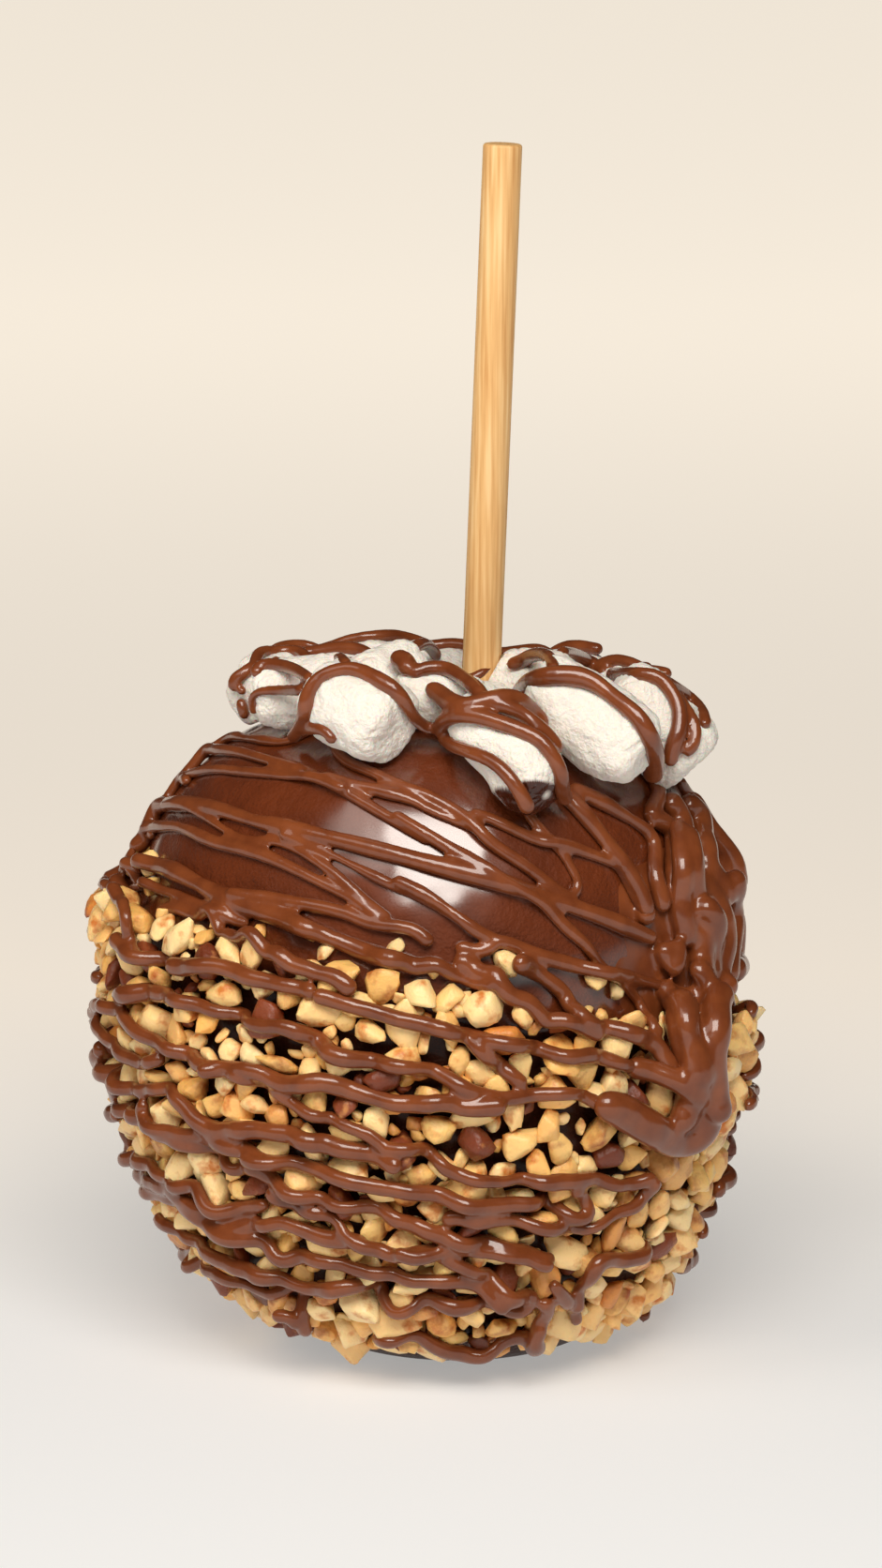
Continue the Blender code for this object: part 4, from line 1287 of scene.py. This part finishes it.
woodLook = {
    "drawnOut": (1, 1, 0.035),
    "grain": 1500,
    "colours": [(0.3, srgb(204, 148, 86)), (0.5, srgb(226, 178, 116)), (0.68, srgb(238, 200, 144))],
}
wood, woodTree, woodShader = material("wood", Roughness=0.6)
woodMap = addNode(woodTree, "Mapping", Scale=woodLook["drawnOut"])
grain = addNode(woodTree, "TexNoise", Scale=woodLook["grain"], Detail=4)
woodColour = ramp(woodTree, grain.outputs[0], woodLook["colours"])
join(woodTree, (addNode(woodTree, "TexCoord").outputs["Object"], woodMap.inputs["Vector"]),
     (woodMap.outputs[0], grain.inputs["Vector"]), (woodColour, woodShader.inputs["Base Color"]))
print("materials")


# what each piece is made of, rides on and replaces

for piece, made, name in ((coat, dark, "dark_chocolate"), (rod, wood, "wood")):
    piece.data.materials.append(made)
for piece, made in zip(nutPieces, nutMade):
    piece.data.materials.append(made)
for piece in drizzlePieces:
    piece.data.materials.append(milk)
for piece in marshPieces:
    piece.data.materials.append(sweet)

for piece in [coat, rod] + nutPieces + drizzlePieces + marshPieces:
    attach(piece, "root")
for piece in [coat] + nutPieces + drizzlePieces:
    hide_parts("coated_apple")
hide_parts("stick")
for index, piece in enumerate(marshPieces):
    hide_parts(f"marshmallow_{index + 1:02d}")


# floor and light: the floor's colour and faint glow change along its own y. Both are painted light: the
# far floor is painted lighter where the lamps' light falls off, and the floor glows though it is no lamp,
# lightening its own shadow and lighting the apple from below and behind

studio = {
    # near and far are base colours, the far one painted lighter as painted light; the two glows are the
    # floor's emission, also painted light
    "near": srgb(198, 199, 200),
    "far": srgb(236, 221, 200),
    "farFrom": 0.0,
    "farTo": 0.22,
    "nearGlow": srgb(167, 166, 164),
    "farGlow": srgb(243, 233, 218),
    "glowStrength": 0.93,
    "glowFrom": -0.05,
    "glowTo": 1.3,
    "floorSize": 16,
    "world": (1.0, 0.955, 0.9, 1),
    "worldStrength": 0.025,
    "lamp": (1.0, 0.95, 0.88),
}
# place, size, power and the height that each lamp points to
lamps = {
    "mainBox": ((0.05, -0.68, 0.70), (0.6, 0.42), 8.3, 0.07),
    "sideBox": ((-0.9, -0.45, 0.55), (0.55, 0.55), 2.5, 0.06),
    "leftBox": ((-0.46, -0.56, 0.8), (0.5, 0.45), 1.5, 0.07),
}
bpy.ops.mesh.primitive_plane_add(size=studio["floorSize"])
floor = bpy.context.object
floor.name = "floor"
floorMade, floorTree, floorShader = material("floor", Roughness=0.9, Specular_IOR_Level=0.1,
                                             Emission_Strength=studio["glowStrength"])
floorReach = addNode(floorTree, "SeparateXYZ")
join(floorTree, (addNode(floorTree, "TexCoord").outputs["Object"], floorReach.inputs[0]))
floorReach = floorReach.outputs["Y"]
# painted light: along the floor's y, the base colour turns to the lighter far colour and the emission
# grows
paintedFalloffShare = mapIn(floorTree, floorReach, From_Min=studio["farFrom"], From_Max=studio["farTo"])
floorGlow = mapIn(floorTree, floorReach, From_Min=studio["glowFrom"], From_Max=studio["glowTo"])
floorGlow.node.interpolation_type = "SMOOTHSTEP"
paintedFalloffColour = mixColour(floorTree, paintedFalloffShare, studio["near"], studio["far"])
floorLight = mixColour(floorTree, floorGlow, studio["nearGlow"], studio["farGlow"])
join(floorTree, (paintedFalloffColour, floorShader.inputs["Base Color"]),
     (floorLight, floorShader.inputs["Emission Color"]))
floor.data.materials.append(floorMade)

world = bpy.data.worlds.new("world")
bpy.context.scene.world = world
world.use_nodes = True
background = world.node_tree.nodes["Background"]
background.inputs[0].default_value = studio["world"]
background.inputs[1].default_value = studio["worldStrength"]

for name, (place, size, power, aim) in lamps.items():
    lamp = bpy.data.lights.new(name, "AREA")
    lamp.shape = "RECTANGLE"
    lamp.size, lamp.size_y = size
    lamp.energy = power
    lamp.color = studio["lamp"]
    box = bpy.data.objects.new(name, lamp)
    box.location = place
    box.rotation_euler = (Vector((0, 0, aim)) - Vector(place)).to_track_quat("-Z", "Y").to_euler()
    box.visible_glossy = name != "sideBox"
    bpy.context.scene.collection.objects.link(box)
bpy.context.scene.view_settings.view_transform = "Standard"
bpy.context.scene.view_settings.look = "None"
print("staged")
